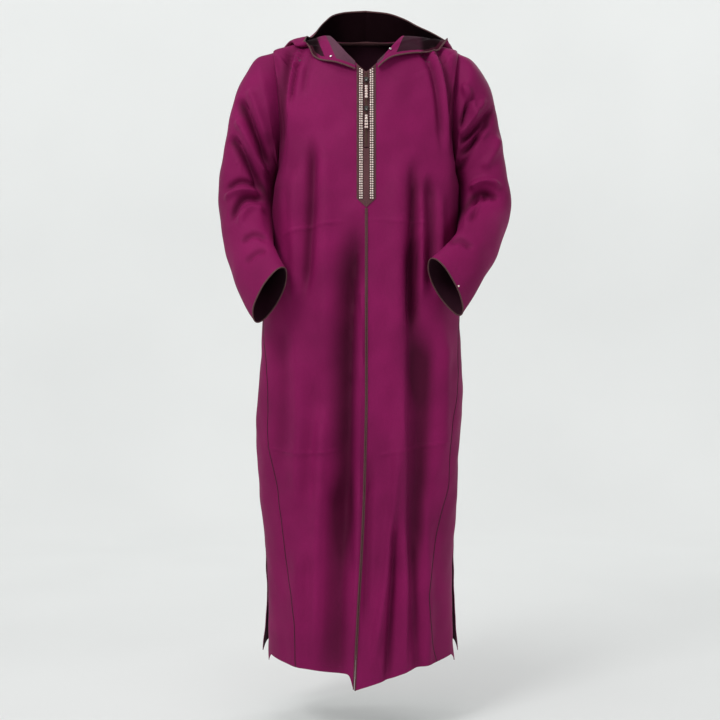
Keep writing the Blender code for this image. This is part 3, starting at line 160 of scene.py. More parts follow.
# ---- folds: a curve through three places, its width on each side, and how far it stands out ---
# a row holds x0, z0, x1, z1, x2, z2, the width on the left, the width on the right, the depth
FRONT_FOLDS = (
    # from the hood over the right shoulder
    (-0.158, -0.012, -0.179, -0.110, -0.187, -0.320, 0.014, 0.007, -0.0080),
    (-0.138, -0.014, -0.156, -0.082, -0.168, -0.180, 0.007, 0.006, -0.0042),
    (-0.116, -0.022, -0.131, -0.082, -0.139, -0.150, 0.006, 0.008, -0.0026),
    (-0.149, -0.014, -0.167, -0.096, -0.177, -0.200, 0.006, 0.006, 0.0030),
    # right front
    (-0.117, -0.220, -0.122, -0.420, -0.138, -0.610, 0.013, 0.012, -0.0080),
    (-0.092, -0.200, -0.090, -0.450, -0.095, -0.780, 0.018, 0.018, 0.0030),
    (-0.160, -0.300, -0.158, -0.450, -0.160, -0.640, 0.014, 0.014, 0.0040),
    (-0.012, -0.390, -0.036, -0.760, -0.035, -1.230, 0.034, 0.012, -0.0125),
    (-0.046, -0.960, -0.058, -1.200, -0.064, -1.480, 0.040, 0.018, -0.0085),
    (-0.008, -0.480, -0.014, -0.920, -0.030, -1.440, 0.008, 0.008, 0.0040),
    (-0.183, -0.640, -0.183, -0.800, -0.190, -0.980, 0.018, 0.016, -0.0035),
    (-0.150, -0.680, -0.146, -0.870, -0.152, -1.080, 0.018, 0.018, 0.0050),
    (-0.118, -0.740, -0.122, -0.900, -0.146, -1.120, 0.014, 0.016, -0.0022),
    (-0.094, -0.820, -0.102, -1.060, -0.112, -1.440, 0.016, 0.017, 0.0070),
    (-0.140, -1.120, -0.150, -1.270, -0.150, -1.460, 0.020, 0.016, 0.0050),
    # from the hood over the left shoulder
    (0.152, -0.014, 0.181, -0.110, 0.193, -0.300, 0.006, 0.010, -0.0065),
    (0.104, -0.016, 0.150, -0.096, 0.168, -0.290, 0.008, 0.007, -0.0055),
    (0.128, -0.014, 0.166, -0.096, 0.181, -0.270, 0.007, 0.006, 0.0040),
    # left front
    (0.103, -0.270, 0.102, -0.480, 0.098, -0.680, 0.011, 0.014, -0.0100),
    (0.138, -0.310, 0.146, -0.440, 0.144, -0.600, 0.013, 0.010, -0.0075),
    (0.098, -0.440, 0.096, -0.620, 0.108, -0.860, 0.010, 0.024, -0.0075),
    (0.119, -0.340, 0.120, -0.480, 0.118, -0.640, 0.008, 0.008, 0.0030),
    (0.066, -0.260, 0.070, -0.480, 0.068, -0.760, 0.020, 0.018, 0.0035),
    (0.166, -0.340, 0.164, -0.480, 0.166, -0.640, 0.014, 0.012, 0.0040),
    (0.134, -0.640, 0.122, -0.900, 0.112, -1.240, 0.034, 0.018, -0.0105),
    (0.172, -0.640, 0.172, -0.800, 0.168, -0.960, 0.014, 0.014, 0.0040),
    (0.067, -0.860, 0.051, -1.120, 0.004, -1.440, 0.010, 0.012, 0.0065),
    (0.080, -0.720, 0.083, -1.080, 0.084, -1.460, 0.014, 0.007, 0.0070),
    (0.010, -0.900, 0.002, -1.140, -0.004, -1.320, 0.006, 0.009, -0.0035),
    (0.062, -1.050, 0.055, -1.240, 0.041, -1.480, 0.008, 0.010, -0.0065),
    (0.104, -1.100, 0.107, -1.270, 0.119, -1.470, 0.012, 0.010, -0.0050),
    (0.128, -0.980, 0.132, -1.220, 0.130, -1.460, 0.014, 0.013, 0.0050),
    # light cross creases left by the press
    (-0.191, -0.452, -0.123, -0.434, -0.036, -0.423, 0.0030, 0.0030, 0.0011),
    (0.006, -0.419, 0.074, -0.423, 0.161, -0.425, 0.0028, 0.0028, 0.0009),
    (-0.238, -0.914, -0.150, -0.931, -0.047, -0.921, 0.0030, 0.0028, 0.0013),
    (0.023, -0.935, 0.090, -0.923, 0.200, -0.906, 0.0030, 0.0028, 0.0012),
)
BACK_FOLDS = (
    (-0.150, -0.110, -0.172, -0.220, -0.176, -0.420, 0.012, 0.010, -0.0060),
    (0.148, -0.105, 0.170, -0.210, 0.177, -0.400, 0.010, 0.012, -0.0060),
    (-0.120, -0.330, -0.124, -0.700, -0.134, -1.180, 0.022, 0.016, -0.0100),
    (-0.088, -0.420, -0.092, -0.760, -0.100, -1.210, 0.018, 0.020, 0.0060),
    (-0.046, -0.530, -0.050, -0.900, -0.062, -1.470, 0.012, 0.020, -0.0100),
    (-0.006, -0.360, -0.012, -0.700, -0.010, -1.120, 0.018, 0.015, 0.0045),
    (0.036, -0.380, 0.026, -0.860, 0.006, -1.470, 0.020, 0.012, -0.0065),
    (0.074, -0.480, 0.074, -0.900, 0.058, -1.460, 0.013, 0.019, 0.0075),
    (0.114, -0.330, 0.116, -0.700, 0.104, -1.080, 0.014, 0.021, -0.0105),
    (0.152, -0.420, 0.150, -0.800, 0.148, -1.440, 0.016, 0.018, 0.0055),
    (-0.168, -0.460, -0.166, -0.860, -0.160, -1.450, 0.018, 0.016, 0.0055),
    (-0.136, -1.020, -0.142, -1.240, -0.128, -1.470, 0.014, 0.012, -0.0060),
    (0.112, -1.160, 0.104, -1.320, 0.108, -1.470, 0.012, 0.012, -0.0060),
    (-0.200, -0.456, -0.080, -0.440, 0.060, -0.448, 0.0030, 0.0030, 0.0010),
    (-0.220, -0.930, -0.060, -0.922, 0.190, -0.928, 0.0030, 0.0030, 0.0012),
)

# ---- the sleeves ---------------------------------------------------------------------------
SLEEVE_COLUMNS = ("in_x", "in_z", "out_x", "out_z", "mid_y", "half", "tilt")
SLEEVE_ROWS = {
    -1: (
        (0.1990, -0.2925, 0.2460, -0.0340, 0.000, 0.085, 0.0),
        (0.2003, -0.2965, 0.2740, -0.0690, 0.001, 0.082, 0.0),
        (0.2022, -0.3030, 0.2950, -0.1130, 0.003, 0.080, 0.0),
        (0.2045, -0.3120, 0.3130, -0.1760, 0.006, 0.078, 0.0),
        (0.2072, -0.3260, 0.3260, -0.2420, 0.008, 0.076, 0.0),
        (0.2092, -0.3450, 0.3350, -0.3060, 0.006, 0.075, 2.0),
        (0.2106, -0.3720, 0.3380, -0.3630, -0.003, 0.073, 9.0),
        (0.2118, -0.4030, 0.3320, -0.4140, -0.024, 0.069, 20.0),
        (0.2100, -0.4380, 0.3200, -0.4650, -0.059, 0.063, 31.0),
        (0.2060, -0.4730, 0.3030, -0.5190, -0.104, 0.057, 40.0),
        (0.1910, -0.5080, 0.2790, -0.5750, -0.150, 0.050, 45.0),
        (0.1720, -0.5420, 0.2420, -0.6320, -0.192, 0.046, 47.0),
    ),
    1: (
        (0.1990, -0.2925, 0.2380, -0.0390, 0.000, 0.085, 0.0),
        (0.2003, -0.2965, 0.2670, -0.0770, 0.001, 0.082, 0.0),
        (0.2022, -0.3030, 0.2890, -0.1180, 0.003, 0.080, 0.0),
        (0.2045, -0.3120, 0.3030, -0.1770, 0.006, 0.078, 0.0),
        (0.2072, -0.3260, 0.3140, -0.2430, 0.008, 0.075, 0.0),
        (0.2092, -0.3440, 0.3250, -0.3060, 0.006, 0.074, 2.0),
        (0.2104, -0.3680, 0.3320, -0.3620, -0.003, 0.071, 9.0),
        (0.2114, -0.3960, 0.3240, -0.4020, -0.024, 0.067, 20.0),
        (0.2070, -0.4260, 0.3110, -0.4400, -0.061, 0.062, 31.0),
        (0.1980, -0.4580, 0.2910, -0.4880, -0.107, 0.057, 40.0),
        (0.1700, -0.4920, 0.2560, -0.5400, -0.153, 0.050, 45.0),
        (0.1330, -0.5240, 0.2090, -0.6200, -0.192, 0.046, 47.0),
    ),
}
SLEEVE_FRONT_FOLDS = {
    -1: (
        (-0.287, -0.134, -0.256, -0.205, -0.213, -0.313, 0.012, 0.009, -0.0100),
        (-0.262, -0.110, -0.240, -0.170, -0.214, -0.250, 0.012, 0.010, 0.0050),
        (-0.292, -0.180, -0.256, -0.240, -0.212, -0.350, 0.012, 0.010, 0.0060),
        (-0.309, -0.220, -0.268, -0.278, -0.206, -0.396, 0.011, 0.008, -0.0090),
        (-0.320, -0.350, -0.282, -0.326, -0.236, -0.346, 0.007, 0.007, -0.0045),
        (-0.322, -0.372, -0.280, -0.346, -0.232, -0.362, 0.008, 0.008, 0.0045),
        (-0.300, -0.431, -0.276, -0.366, -0.218, -0.376, 0.008, 0.008, -0.0065),
        (-0.280, -0.442, -0.262, -0.394, -0.222, -0.404, 0.009, 0.008, 0.0050),
        (-0.276, -0.476, -0.246, -0.452, -0.212, -0.470, 0.007, 0.007, -0.0045),
        (-0.264, -0.522, -0.240, -0.496, -0.212, -0.494, 0.007, 0.007, -0.0035),
        (-0.300, -0.286, -0.284, -0.286, -0.282, -0.315, 0.0022, 0.0022, 0.0010),
    ),
    1: (
        (0.206, -0.212, 0.224, -0.166, 0.243, -0.128, 0.007, 0.007, -0.0060),
        (0.206, -0.242, 0.246, -0.208, 0.297, -0.146, 0.006, 0.007, -0.0070),
        (0.206, -0.268, 0.248, -0.230, 0.288, -0.164, 0.006, 0.006, -0.0055),
        (0.207, -0.226, 0.236, -0.188, 0.272, -0.134, 0.007, 0.007, 0.0045),
        (0.203, -0.305, 0.230, -0.262, 0.264, -0.214, 0.008, 0.008, -0.0060),
        (0.206, -0.286, 0.240, -0.250, 0.276, -0.200, 0.007, 0.007, 0.0040),
        (0.214, -0.108, 0.232, -0.140, 0.246, -0.200, 0.009, 0.009, 0.0050),
        (0.230, -0.352, 0.264, -0.326, 0.304, -0.344, 0.008, 0.008, 0.0070),
        (0.234, -0.374, 0.262, -0.350, 0.298, -0.372, 0.007, 0.007, -0.0070),
        (0.190, -0.452, 0.214, -0.400, 0.256, -0.352, 0.009, 0.009, -0.0070),
        (0.226, -0.430, 0.250, -0.378, 0.280, -0.350, 0.008, 0.008, -0.0050),
        (0.208, -0.440, 0.234, -0.394, 0.268, -0.362, 0.008, 0.008, 0.0045),
        (0.230, -0.494, 0.204, -0.470, 0.176, -0.480, 0.007, 0.007, -0.0040),
        (0.260, -0.300, 0.284, -0.262, 0.298, -0.214, 0.010, 0.010, 0.0040),
    ),
}
SLEEVE_BACK_FOLDS = {
    -1: (
        (-0.280, -0.130, -0.250, -0.210, -0.218, -0.330, 0.012, 0.010, -0.0080),
        (-0.304, -0.220, -0.272, -0.290, -0.224, -0.380, 0.011, 0.009, -0.0070),
        (-0.262, -0.120, -0.240, -0.190, -0.220, -0.270, 0.012, 0.010, 0.0050),
        (-0.300, -0.300, -0.270, -0.350, -0.230, -0.400, 0.010, 0.010, 0.0050),
    ),
    1: (
        (0.276, -0.130, 0.248, -0.210, 0.216, -0.330, 0.010, 0.012, -0.0080),
        (0.298, -0.220, 0.268, -0.290, 0.222, -0.380, 0.009, 0.011, -0.0070),
        (0.258, -0.120, 0.236, -0.190, 0.218, -0.270, 0.010, 0.012, 0.0050),
        (0.296, -0.300, 0.266, -0.350, 0.228, -0.400, 0.010, 0.010, 0.0050),
    ),
}

# ---- the hood ------------------------------------------------------------------------------
HOOD_COLUMNS = ("neck", "turn_x", "turn_y", "turn_z", "rim_x", "rim_y", "rim_z", "puff",
                "folded")
HOOD_ROWS = {
    -1: (
        (0.18, 0.0240, -0.1320, -0.0790, 0.0245, -0.1340, -0.0870, 0.000, 0.0),
        (0.27, 0.0370, -0.1310, -0.0700, 0.0420, -0.1330, -0.0800, 0.000, 0.0),
        (0.41, 0.0600, -0.1230, -0.0600, 0.0700, -0.1270, -0.0705, 0.000, 0.0),
        (0.56, 0.0950, -0.1080, -0.0620, 0.0980, -0.1110, -0.0620, 0.000, 0.0),
        (0.72, 0.1290, -0.0860, -0.0550, 0.1200, -0.0860, -0.0480, 0.000, 0.2),
        (0.86, 0.1560, -0.0520, -0.0350, 0.1310, -0.0450, -0.0230, 0.001, 0.8),
        (1.00, 0.1800, 0.0000, -0.0100, 0.1300, -0.0040, 0.0050, 0.007, 1.0),
        (1.16, 0.1980, 0.0600, -0.0350, 0.1190, 0.0330, 0.0320, 0.014, 1.0),
        (1.34, 0.1940, 0.1150, -0.0950, 0.1020, 0.0670, 0.0640, 0.022, 1.0),
        (1.54, 0.1600, 0.1440, -0.1850, 0.0790, 0.0960, 0.0900, 0.030, 1.0),
        (1.78, 0.0950, 0.1540, -0.2850, 0.0440, 0.1170, 0.1050, 0.036, 1.0),
        (2.00, 0.0000, 0.1560, -0.3450, 0.0000, 0.1270, 0.1100, 0.038, 1.0),
    ),
    1: (
        (0.18, 0.0240, -0.1320, -0.0750, 0.0250, -0.1330, -0.0830, 0.000, 0.0),
        (0.27, 0.0360, -0.1300, -0.0620, 0.0390, -0.1330, -0.0700, 0.000, 0.0),
        (0.41, 0.0560, -0.1200, -0.0500, 0.0610, -0.1240, -0.0560, 0.000, 0.0),
        (0.56, 0.0900, -0.1040, -0.0450, 0.0960, -0.1090, -0.0470, 0.000, 0.0),
        (0.72, 0.1290, -0.0880, -0.0440, 0.1340, -0.0900, -0.0400, 0.000, 0.0),
        (0.86, 0.1740, -0.0560, -0.0370, 0.1690, -0.0560, -0.0300, 0.000, 0.2),
        (1.00, 0.1960, -0.0040, -0.0160, 0.1830, -0.0080, -0.0020, 0.001, 0.8),
        (1.16, 0.2010, 0.0560, -0.0400, 0.1680, 0.0280, 0.0240, 0.008, 1.0),
        (1.34, 0.1960, 0.1150, -0.0950, 0.1320, 0.0620, 0.0520, 0.020, 1.0),
        (1.54, 0.1600, 0.1440, -0.1850, 0.0930, 0.0930, 0.0800, 0.030, 1.0),
        (1.78, 0.0950, 0.1540, -0.2850, 0.0500, 0.1160, 0.1020, 0.036, 1.0),
        (2.00, 0.0000, 0.1560, -0.3450, 0.0000, 0.1270, 0.1100, 0.038, 1.0),
    ),
}
HOOD_LOWER = 6
HOOD_UPPER = 4
HOOD_GAP = 0.0022      # from the robe's skin to the middle of the hood cloth
FOLD_GAP = 0.0028      # more space where the hood crosses the shoulder
TURN_RISE = 0.0075     # from the lower to the upper layer where the hood folds
RISE_FIRST = 4.0
MIN_RUN = 0.012
HOOD_REACH = 3.0

# ---- trims ---------------------------------------------------------------------------------
PLACKET_HALF = 0.0212
PLACKET_MID = 0.0117
PLACKET_POINT = -0.104
PLACKET_SHOULDER = -0.084
ZIP_HALF = 0.0065
CHAIN_HALF = 0.0026
LIFT_CLOTH = 0.0010    # from the form to the outer skin of the cloth
# beads of each pull: drop below the bar, radius, half height, and 1 where two sit side by side
PULL_BEADS = {
    "upper": ((0.0054, 0.0025, 0.0023, 0), (0.0104, 0.0026, 0.0025, 0), (0.0157, 0.0027, 0.0026, 0),
              (0.0212, 0.0027, 0.0026, 0), (0.0269, 0.0028, 0.0028, 0)),
    "lower": ((0.0056, 0.0026, 0.0025, 0), (0.0111, 0.0027, 0.0027, 0), (0.0168, 0.0032, 0.0027, 1),
              (0.0226, 0.0033, 0.0028, 1), (0.0285, 0.0033, 0.0028, 1)),
}
SIDE_NAMES = {-1: "right", 1: "left"}


# ---- shape helpers -------------------------------------------------------------------------
def table(columns, rows):
    data = np.array(rows, dtype=float)
    return {name: data[:, index] for index, name in enumerate(columns)}


def through_slopes(keys, values, slope, at):
    """Read a curve that passes each value with its slope, along the first axis."""
    at = np.clip(np.asarray(at, dtype=float), keys[0], keys[-1])
    low = np.clip(np.searchsorted(keys, at, side="right") - 1, 0, len(keys) - 2)
    shape = low.shape + (1,) * (values.ndim - 1)
    reach = (keys[low + 1] - keys[low]).reshape(shape)
    share = (at - keys[low]).reshape(shape) / reach
    ease = share * share * (3.0 - 2.0 * share)
    leaving = share * (1.0 - share) ** 2
    arriving = share * share * (share - 1.0)
    return (values[low] * (1.0 - ease) + values[low + 1] * ease
            + reach * (slope[low] * leaving + slope[low + 1] * arriving))


def curve(keys, values, at):
    """Smooth curve through values, never past its neighbours."""
    keys = np.asarray(keys, dtype=float)
    values = np.asarray(values, dtype=float)
    step = np.diff(keys).reshape(-1, *(1,) * (values.ndim - 1))
    rise = np.diff(values, axis=0) / step
    slope = np.zeros_like(values)
    slope[0] = rise[0]
    slope[-1] = rise[-1]
    both = rise[:-1] * rise[1:]
    total = rise[:-1] + rise[1:]
    kept = both > 0.0
    slope[1:-1] = np.where(kept, 2.0 * both / np.where(kept, total, 1.0), 0.0)
    return through_slopes(keys, values, slope, at)


def spline(keys, values, at):
    """Rounder curve through values."""
    keys = np.asarray(keys, dtype=float)
    values = np.asarray(values, dtype=float)
    return through_slopes(keys, values, np.gradient(values, keys, axis=0), at)


def ramp(value, start, end):
    share = np.clip((np.asarray(value, dtype=float) - start) / (end - start), 0.0, 1.0)
    return share * share * (3.0 - 2.0 * share)


def unit(vectors):
    length = np.linalg.norm(vectors, axis=-1, keepdims=True)
    return vectors / np.maximum(length, 1e-12)


def run_of(points, axis=0):
    """Distance along a line or a grid of points, from its first one."""
    steps = np.linalg.norm(np.diff(points, axis=axis), axis=-1)
    start = np.zeros_like(np.take(steps, [0], axis=axis))
    return np.concatenate((start, np.cumsum(steps, axis=axis)), axis=axis)


def read_line(at, run, rows):
    """Rows of a line, read at a distance along it."""
    return np.array([np.interp(at, run, rows[:, axis]) for axis in range(3)])


FOLD_DEPTH = 2.1       # all folds are this much deeper than the tables say
FOLD_MARKS = 17        # places along the line of a fold
FOLD_SPREAD = 2.6      # how many widths away a fold still moves the cloth
FOLD_ENDS = 0.22       # share of a fold's length over which each end dies away


def fold_push(folds, x, z):
    """Add up how far the folds push the cloth out at places given by x and z."""
    total = np.zeros_like(x)
    for x0, z0, x1, z1, x2, z2, left, right, depth in folds:
        t = np.linspace(0.0, 1.0, FOLD_MARKS)
        turn_x = 2.0 * x1 - (x0 + x2) / 2.0
        turn_z = 2.0 * z1 - (z0 + z2) / 2.0
        line_x = (1 - t) ** 2 * x0 + 2 * t * (1 - t) * turn_x + t ** 2 * x2
        line_z = (1 - t) ** 2 * z0 + 2 * t * (1 - t) * turn_z + t ** 2 * z2
        reach = FOLD_SPREAD * max(left, right)
        near = ((x > line_x.min() - reach) & (x < line_x.max() + reach)
                & (z > line_z.min() - reach) & (z < line_z.max() + reach))
        if not near.any():
            continue
        px = x[near]
        pz = z[near]
        best = np.full(px.shape, 1e9)
        sign = np.zeros(px.shape)
        along = np.zeros(px.shape)
        for k in range(len(t) - 1):
            dx = line_x[k + 1] - line_x[k]
            dz = line_z[k + 1] - line_z[k]
            share = np.clip(((px - line_x[k]) * dx + (pz - line_z[k]) * dz)
                            / (dx * dx + dz * dz), 0.0, 1.0)
            off_x = px - line_x[k] - share * dx
            off_z = pz - line_z[k] - share * dz
            apart = np.hypot(off_x, off_z)
            closer = apart < best
            best = np.where(closer, apart, best)
            sign = np.where(closer, dx * off_z - dz * off_x, sign)
            along = np.where(closer, (k + share) / (len(t) - 1), along)
        width = np.where(sign > 0.0, right, left)
        fade = ramp(along, 0.0, FOLD_ENDS) * ramp(1.0 - along, 0.0, FOLD_ENDS)
        total[near] += FOLD_DEPTH * depth * fade * np.exp(-(best / width) ** 2)
    return total


# slow unevenness of hanging cloth: direction, wavelength, phase, height
DRIFT_ROWS = (
    (1.0, 0.2, 0.15, 0.110, 0.4, 0.0009),
    (0.9, -0.3, -0.25, 0.071, 2.1, 0.0007),
    (0.5, 0.8, 0.20, 0.093, 4.4, 0.0007),
    (0.3, 0.2, 1.00, 0.230, 1.3, 0.0010),
    (-0.6, 0.1, 0.80, 0.160, 3.0, 0.0008),
    (1.0, 0.5, -0.60, 0.047, 5.2, 0.0003),
    (0.7, -0.9, 0.50, 0.039, 0.9, 0.00025),
    (0.4, 0.3, -1.00, 0.053, 2.7, 0.0003),
)


def drift(points):
    total = np.zeros(points.shape[:-1])
    for dx, dy, dz, wave, phase, height in DRIFT_ROWS:
        way = np.array((dx, dy, dz)) / math.sqrt(dx * dx + dy * dy + dz * dz)
        total += height * np.sin(points @ way * (2.0 * math.pi / wave) + phase)
    return total


FRONT = table(FRONT_COLUMNS, FRONT_ROWS)
BACK = table(BACK_COLUMNS, BACK_ROWS)
GORES = {"front": table(GORE_COLUMNS, GORE_ROWS), "back": table(GORE_COLUMNS, BACK_GORE_ROWS)}
SLEEVES = {side: table(SLEEVE_COLUMNS, rows) for side, rows in SLEEVE_ROWS.items()}
HOODS = {side: table(HOOD_COLUMNS, rows) for side, rows in HOOD_ROWS.items()}


# ---- the torso form ------------------------------------------------------------------------
def level(part, stations):
    source = FRONT if part == "front" else BACK
    row = {name: curve(source["station"], source[name], stations)[:, None]
           for name in source if name != "station"}
    row.setdefault("mid_x", np.zeros((len(stations), 1)))
    return row


def edge_of(row, side):
    return side * (row["edge_left"] if side > 0 else row["edge_right"])


CENTRE_LEAN = 0.055    # sideways lean of the centre line towards the hem, for each metre down
# how far the hem sinks towards the centre on each front, from which stations on, and how wide
LEFT_SINK = 0.036
LEFT_SINK_STATIONS = (0.62, 1.12)
LEFT_SINK_WIDTH = 0.65
RIGHT_SINK = 0.034
RIGHT_SINK_STATIONS = (1.00, 1.12)
RIGHT_SINK_WIDTH = 0.045


def form(part, side, stations, turns):
    """Torso form; turns is 0 at the centre line and 1 at the side seam."""
    stations = np.asarray(stations, dtype=float)
    row = level(part, stations)
    near_seam = ramp(turns, 0.80, 1.0)
    around = [level(part, np.clip(stations + apart, HEM_STATION, NECK_STATION))
              for apart in SOFTENING]
    calm = (1.0 - near_seam) * ramp(NECK_STATION - stations, 0.03, 0.12)[:, None]
    for name in ("edge_y", "edge_z"):
        mean = sum(level_row[name] for level_row in around) / len(around)
        row[name] = row[name] + (mean - row[name]) * calm
    angle = turns * math.pi / 2.0
    power = 2.0 / row["plan"]
    out = np.maximum(0.0, np.sin(angle)) ** power
    forward = np.maximum(0.0, np.cos(angle)) ** power
    x = row["mid_x"] + (edge_of(row, side) - row["mid_x"]) * out
    y = row["edge_y"] + (row["mid_y"] - row["edge_y"]) * forward
    z = row["mid_z"] + (row["edge_z"] - row["mid_z"]) * out ** row["rise"]
    if part == "front":
        down = -stations[:, None]
        if side > 0:
            drop = (LEFT_SINK * np.maximum(0.0, 1.0 - out / LEFT_SINK_WIDTH) ** 1.3
                    * ramp(down, *LEFT_SINK_STATIONS))
        else:
            tip = np.exp(-(out / RIGHT_SINK_WIDTH) ** 2)
            drop = RIGHT_SINK * tip * ramp(down, *RIGHT_SINK_STATIONS)
        z = z - drop
        x = x - CENTRE_LEAN * drop
    return np.stack((x, y, z), axis=-1)


# spread of levels that the form is evened over, and the valley along the armhole: how far the
# cloth sinks, how far the valley reaches into the panel, and where it starts and ends
SOFTENING = (-0.08, -0.055, -0.03, 0.0, 0.03, 0.055, 0.08)
VALLEY = {"front": 0.0200, "back": 0.0110}
VALLEY_REACH = 0.11
VALLEY_ENDS = (0.010, 0.080, 0.225, 0.330)


def valley(part, stations):
    low, full, fading, high = VALLEY_ENDS
    stations = np.asarray(stations)
    return VALLEY[part] * ramp(stations, low, full) * ramp(-stations, -high, -fading)


def form_normals(part, side, stations, turns):
    step = 0.004
    stations = np.asarray(stations, dtype=float)
    lower = np.maximum(HEM_STATION, stations - step)
    upper = np.minimum(NECK_STATION, stations + step)
    across = (form(part, side, stations, np.minimum(1.0, turns + step))
              - form(part, side, stations, np.maximum(0.0, turns - step)))
    along = form(part, side, upper, turns) - form(part, side, lower, turns)
    sign = side if part == "front" else -side
    normals = sign * unit(np.cross(across, along))
    normals[..., 0] *= ramp(turns, 0.0, 0.02) * 0.5 + 0.5
    return unit(normals)


def skin(part, side, stations, turns):
    """Folded cloth: points, and the directions that its thickness takes."""
    stations = np.asarray(stations, dtype=float)
    points = form(part, side, stations, turns)
    normals = form_normals(part, side, stations, turns)
    other = form_normals("back" if part == "front" else "front", side, stations,
                         np.minimum(turns, 1.0))
    at_seam = (turns > 0.9999)[..., None]
    normals = np.where(at_seam, unit(normals + other), normals)
    folds = FRONT_FOLDS if part == "front" else BACK_FOLDS
    push = fold_push(folds, points[..., 0], points[..., 2])
    fade = ramp(1.0 - turns, 0.0, 0.15)
    level_at = stations[:, None]
    arm = ramp(level_at, -0.06, 0.0) * ramp(TIP_STATION + 0.02 - level_at, 0.0, 0.02)
    rough = drift(points) * (1.0 - arm * (1.0 - fade))
    neck = ramp(NECK_STATION - level_at, 0.0, 0.02)
    moved = points + normals * ((push * fade + rough) * neck)[..., None]
    sunk = valley(part, stations)[:, None] * ramp(turns, 1.0 - VALLEY_REACH, 1.0)
    moved[..., 1] += sunk if part == "front" else -sunk
    return moved, normals


def turn_at(part, side, stations, offset):
    """Turn at a distance from the centre line, for each station."""
    row = level(part, np.asarray(stations, dtype=float))
    share = np.minimum(1.0, np.asarray(offset) / np.abs(edge_of(row, side) - row["mid_x"])[:, 0])
    return np.arcsin(share ** (row["plan"][:, 0] / 2.0)) * 2.0 / math.pi


def turn_of_share(part, stations, share):
    row = level(part, np.asarray(stations, dtype=float))
    return np.arcsin(np.minimum(1.0, share) ** (row["plan"][:, 0] / 2.0)) * 2.0 / math.pi


VENT_HALF = 0.0004     # half the gap of the front vent at the hem


def inner_offset(stations):
    """Distance from the centre line to the inner edge of a front."""
    stations = np.asarray(stations, dtype=float)
    vent = VENT_HALF * np.clip((VENT_STATION - stations) / (VENT_STATION - HEM_STATION), 0.0, 1.0)
    return np.where(stations > ZIP_END - 1e-6, ZIP_HALF, vent)


def seam_turns(part, side, stations):
    """Turn of the gore seam at each station; 1 above the gores."""
    source = GORES[part]
    name = "share_left" if side > 0 else "share_right"
    share = curve(source["station"], source[name], stations)
    share = np.where(np.asarray(stations) > GORE_TOP + 1e-9, 1.0, share)
    return turn_of_share(part, stations, share)


def over_front(offsets, stations, height):
    """Places on the fronts at signed distances from the centre line, and their normals."""
    offsets = np.broadcast_to(np.asarray(offsets, dtype=float), np.shape(stations))
    stations = np.asarray(stations, dtype=float)
    points = np.zeros((len(stations), 3))
    normals = np.zeros((len(stations), 3))
    for side in (-1, 1):
        chosen = (offsets < 0.0) if side < 0 else (offsets >= 0.0)
        if not chosen.any():
            continue
        turns = turn_at("front", side, stations[chosen], np.abs(offsets[chosen]))
        moved, arrows = skin("front", side, stations[chosen], turns[:, None])
        points[chosen] = moved[:, 0]
        normals[chosen] = arrows[:, 0]
    return points + normals * height, normals


# ---- mesh helpers --------------------------------------------------------------------------
def new_object(name, vertices, faces, materials, indices=None, smooth=True, sharp=50.0):
    mesh = bpy.data.meshes.new(name)
    mesh.from_pydata(np.asarray(vertices).tolist(), [], faces)
    for item in materials:
        mesh.materials.append(item)
    if indices is not None:
        mesh.polygons.foreach_set("material_index", np.asarray(indices, dtype=np.int32))
    mesh.polygons.foreach_set("use_smooth", np.full(len(mesh.polygons), smooth))
    if smooth and sharp is not None:
        mesh.set_sharp_from_angle(angle=math.radians(sharp))
    mesh.update()
    made = bpy.data.objects.new(name, mesh)
    bpy.context.scene.collection.objects.link(made)
    return made


def grid_quads(rows, columns, start=0, closed=False):
    span = columns if closed else columns - 1
    r, c = np.meshgrid(np.arange(rows - 1), np.arange(span), indexing="ij")
    d = (c + 1) % columns
    quads = np.stack((r * columns + c, r * columns + d, (r + 1) * columns + d,
                      (r + 1) * columns + c), axis=-1)
    return quads.reshape(-1, 4) + start


def rim_loop(rows, columns, closed):
    """Border of a grid as pairs of neighbouring points."""
    last = (rows - 1) * columns
    if closed:
        ring = np.arange(columns)
        after = (ring + 1) % columns
        return np.concatenate((np.stack((ring, after), -1),
                               np.stack((last + after, last + ring), -1)))
    bottom = np.arange(columns)
    top = last + np.arange(columns)[::-1]
    right = np.arange(rows) * columns + columns - 1
    left = (np.arange(rows) * columns)[::-1]
    loop = np.concatenate((bottom[:-1], right[:-1], top[:-1], left[:-1]))
    return np.stack((loop, np.roll(loop, -1)), -1)


def rim_faces(rows, columns, closed=False):
    """Faces between the borders of two like grids, the second numbered after the first."""
    count = rows * columns
    pairs = rim_loop(rows, columns, closed)
    return np.stack((pairs[:, 1], pairs[:, 0], pairs[:, 0] + count, pairs[:, 1] + count), -1)


def shell(name, points, normals, outward, above, below, materials, closed=False, index_of=None):
    """Cloth piece from a grid: outer skin, inner skin and the rim between them."""
    rows, columns = points.shape[:2]
    count = rows * columns
    flat = points.reshape(-1, 3)
    arrows = normals.reshape(-1, 3)
    vertices = np.concatenate((flat + arrows * above, flat - arrows * below))
    quads = grid_quads(rows, columns, closed=closed)
    rim = rim_faces(rows, columns, closed)
    if outward > 0:
        outer = quads
        inner = quads[:, ::-1] + count
    else:
        outer = quads[:, ::-1]
        inner = quads + count
        rim = rim[:, ::-1]
    faces = np.concatenate((outer, inner, rim))
    marks = np.zeros(len(faces), dtype=np.int32)
    reverse = slice(len(outer), len(outer) + len(inner))
    marks[reverse] = 1 if index_of is None else index_of(flat[quads].mean(axis=1))
    made = new_object(name, vertices, faces.tolist(), materials, marks)
    weave_map(made.data, points)
    return made


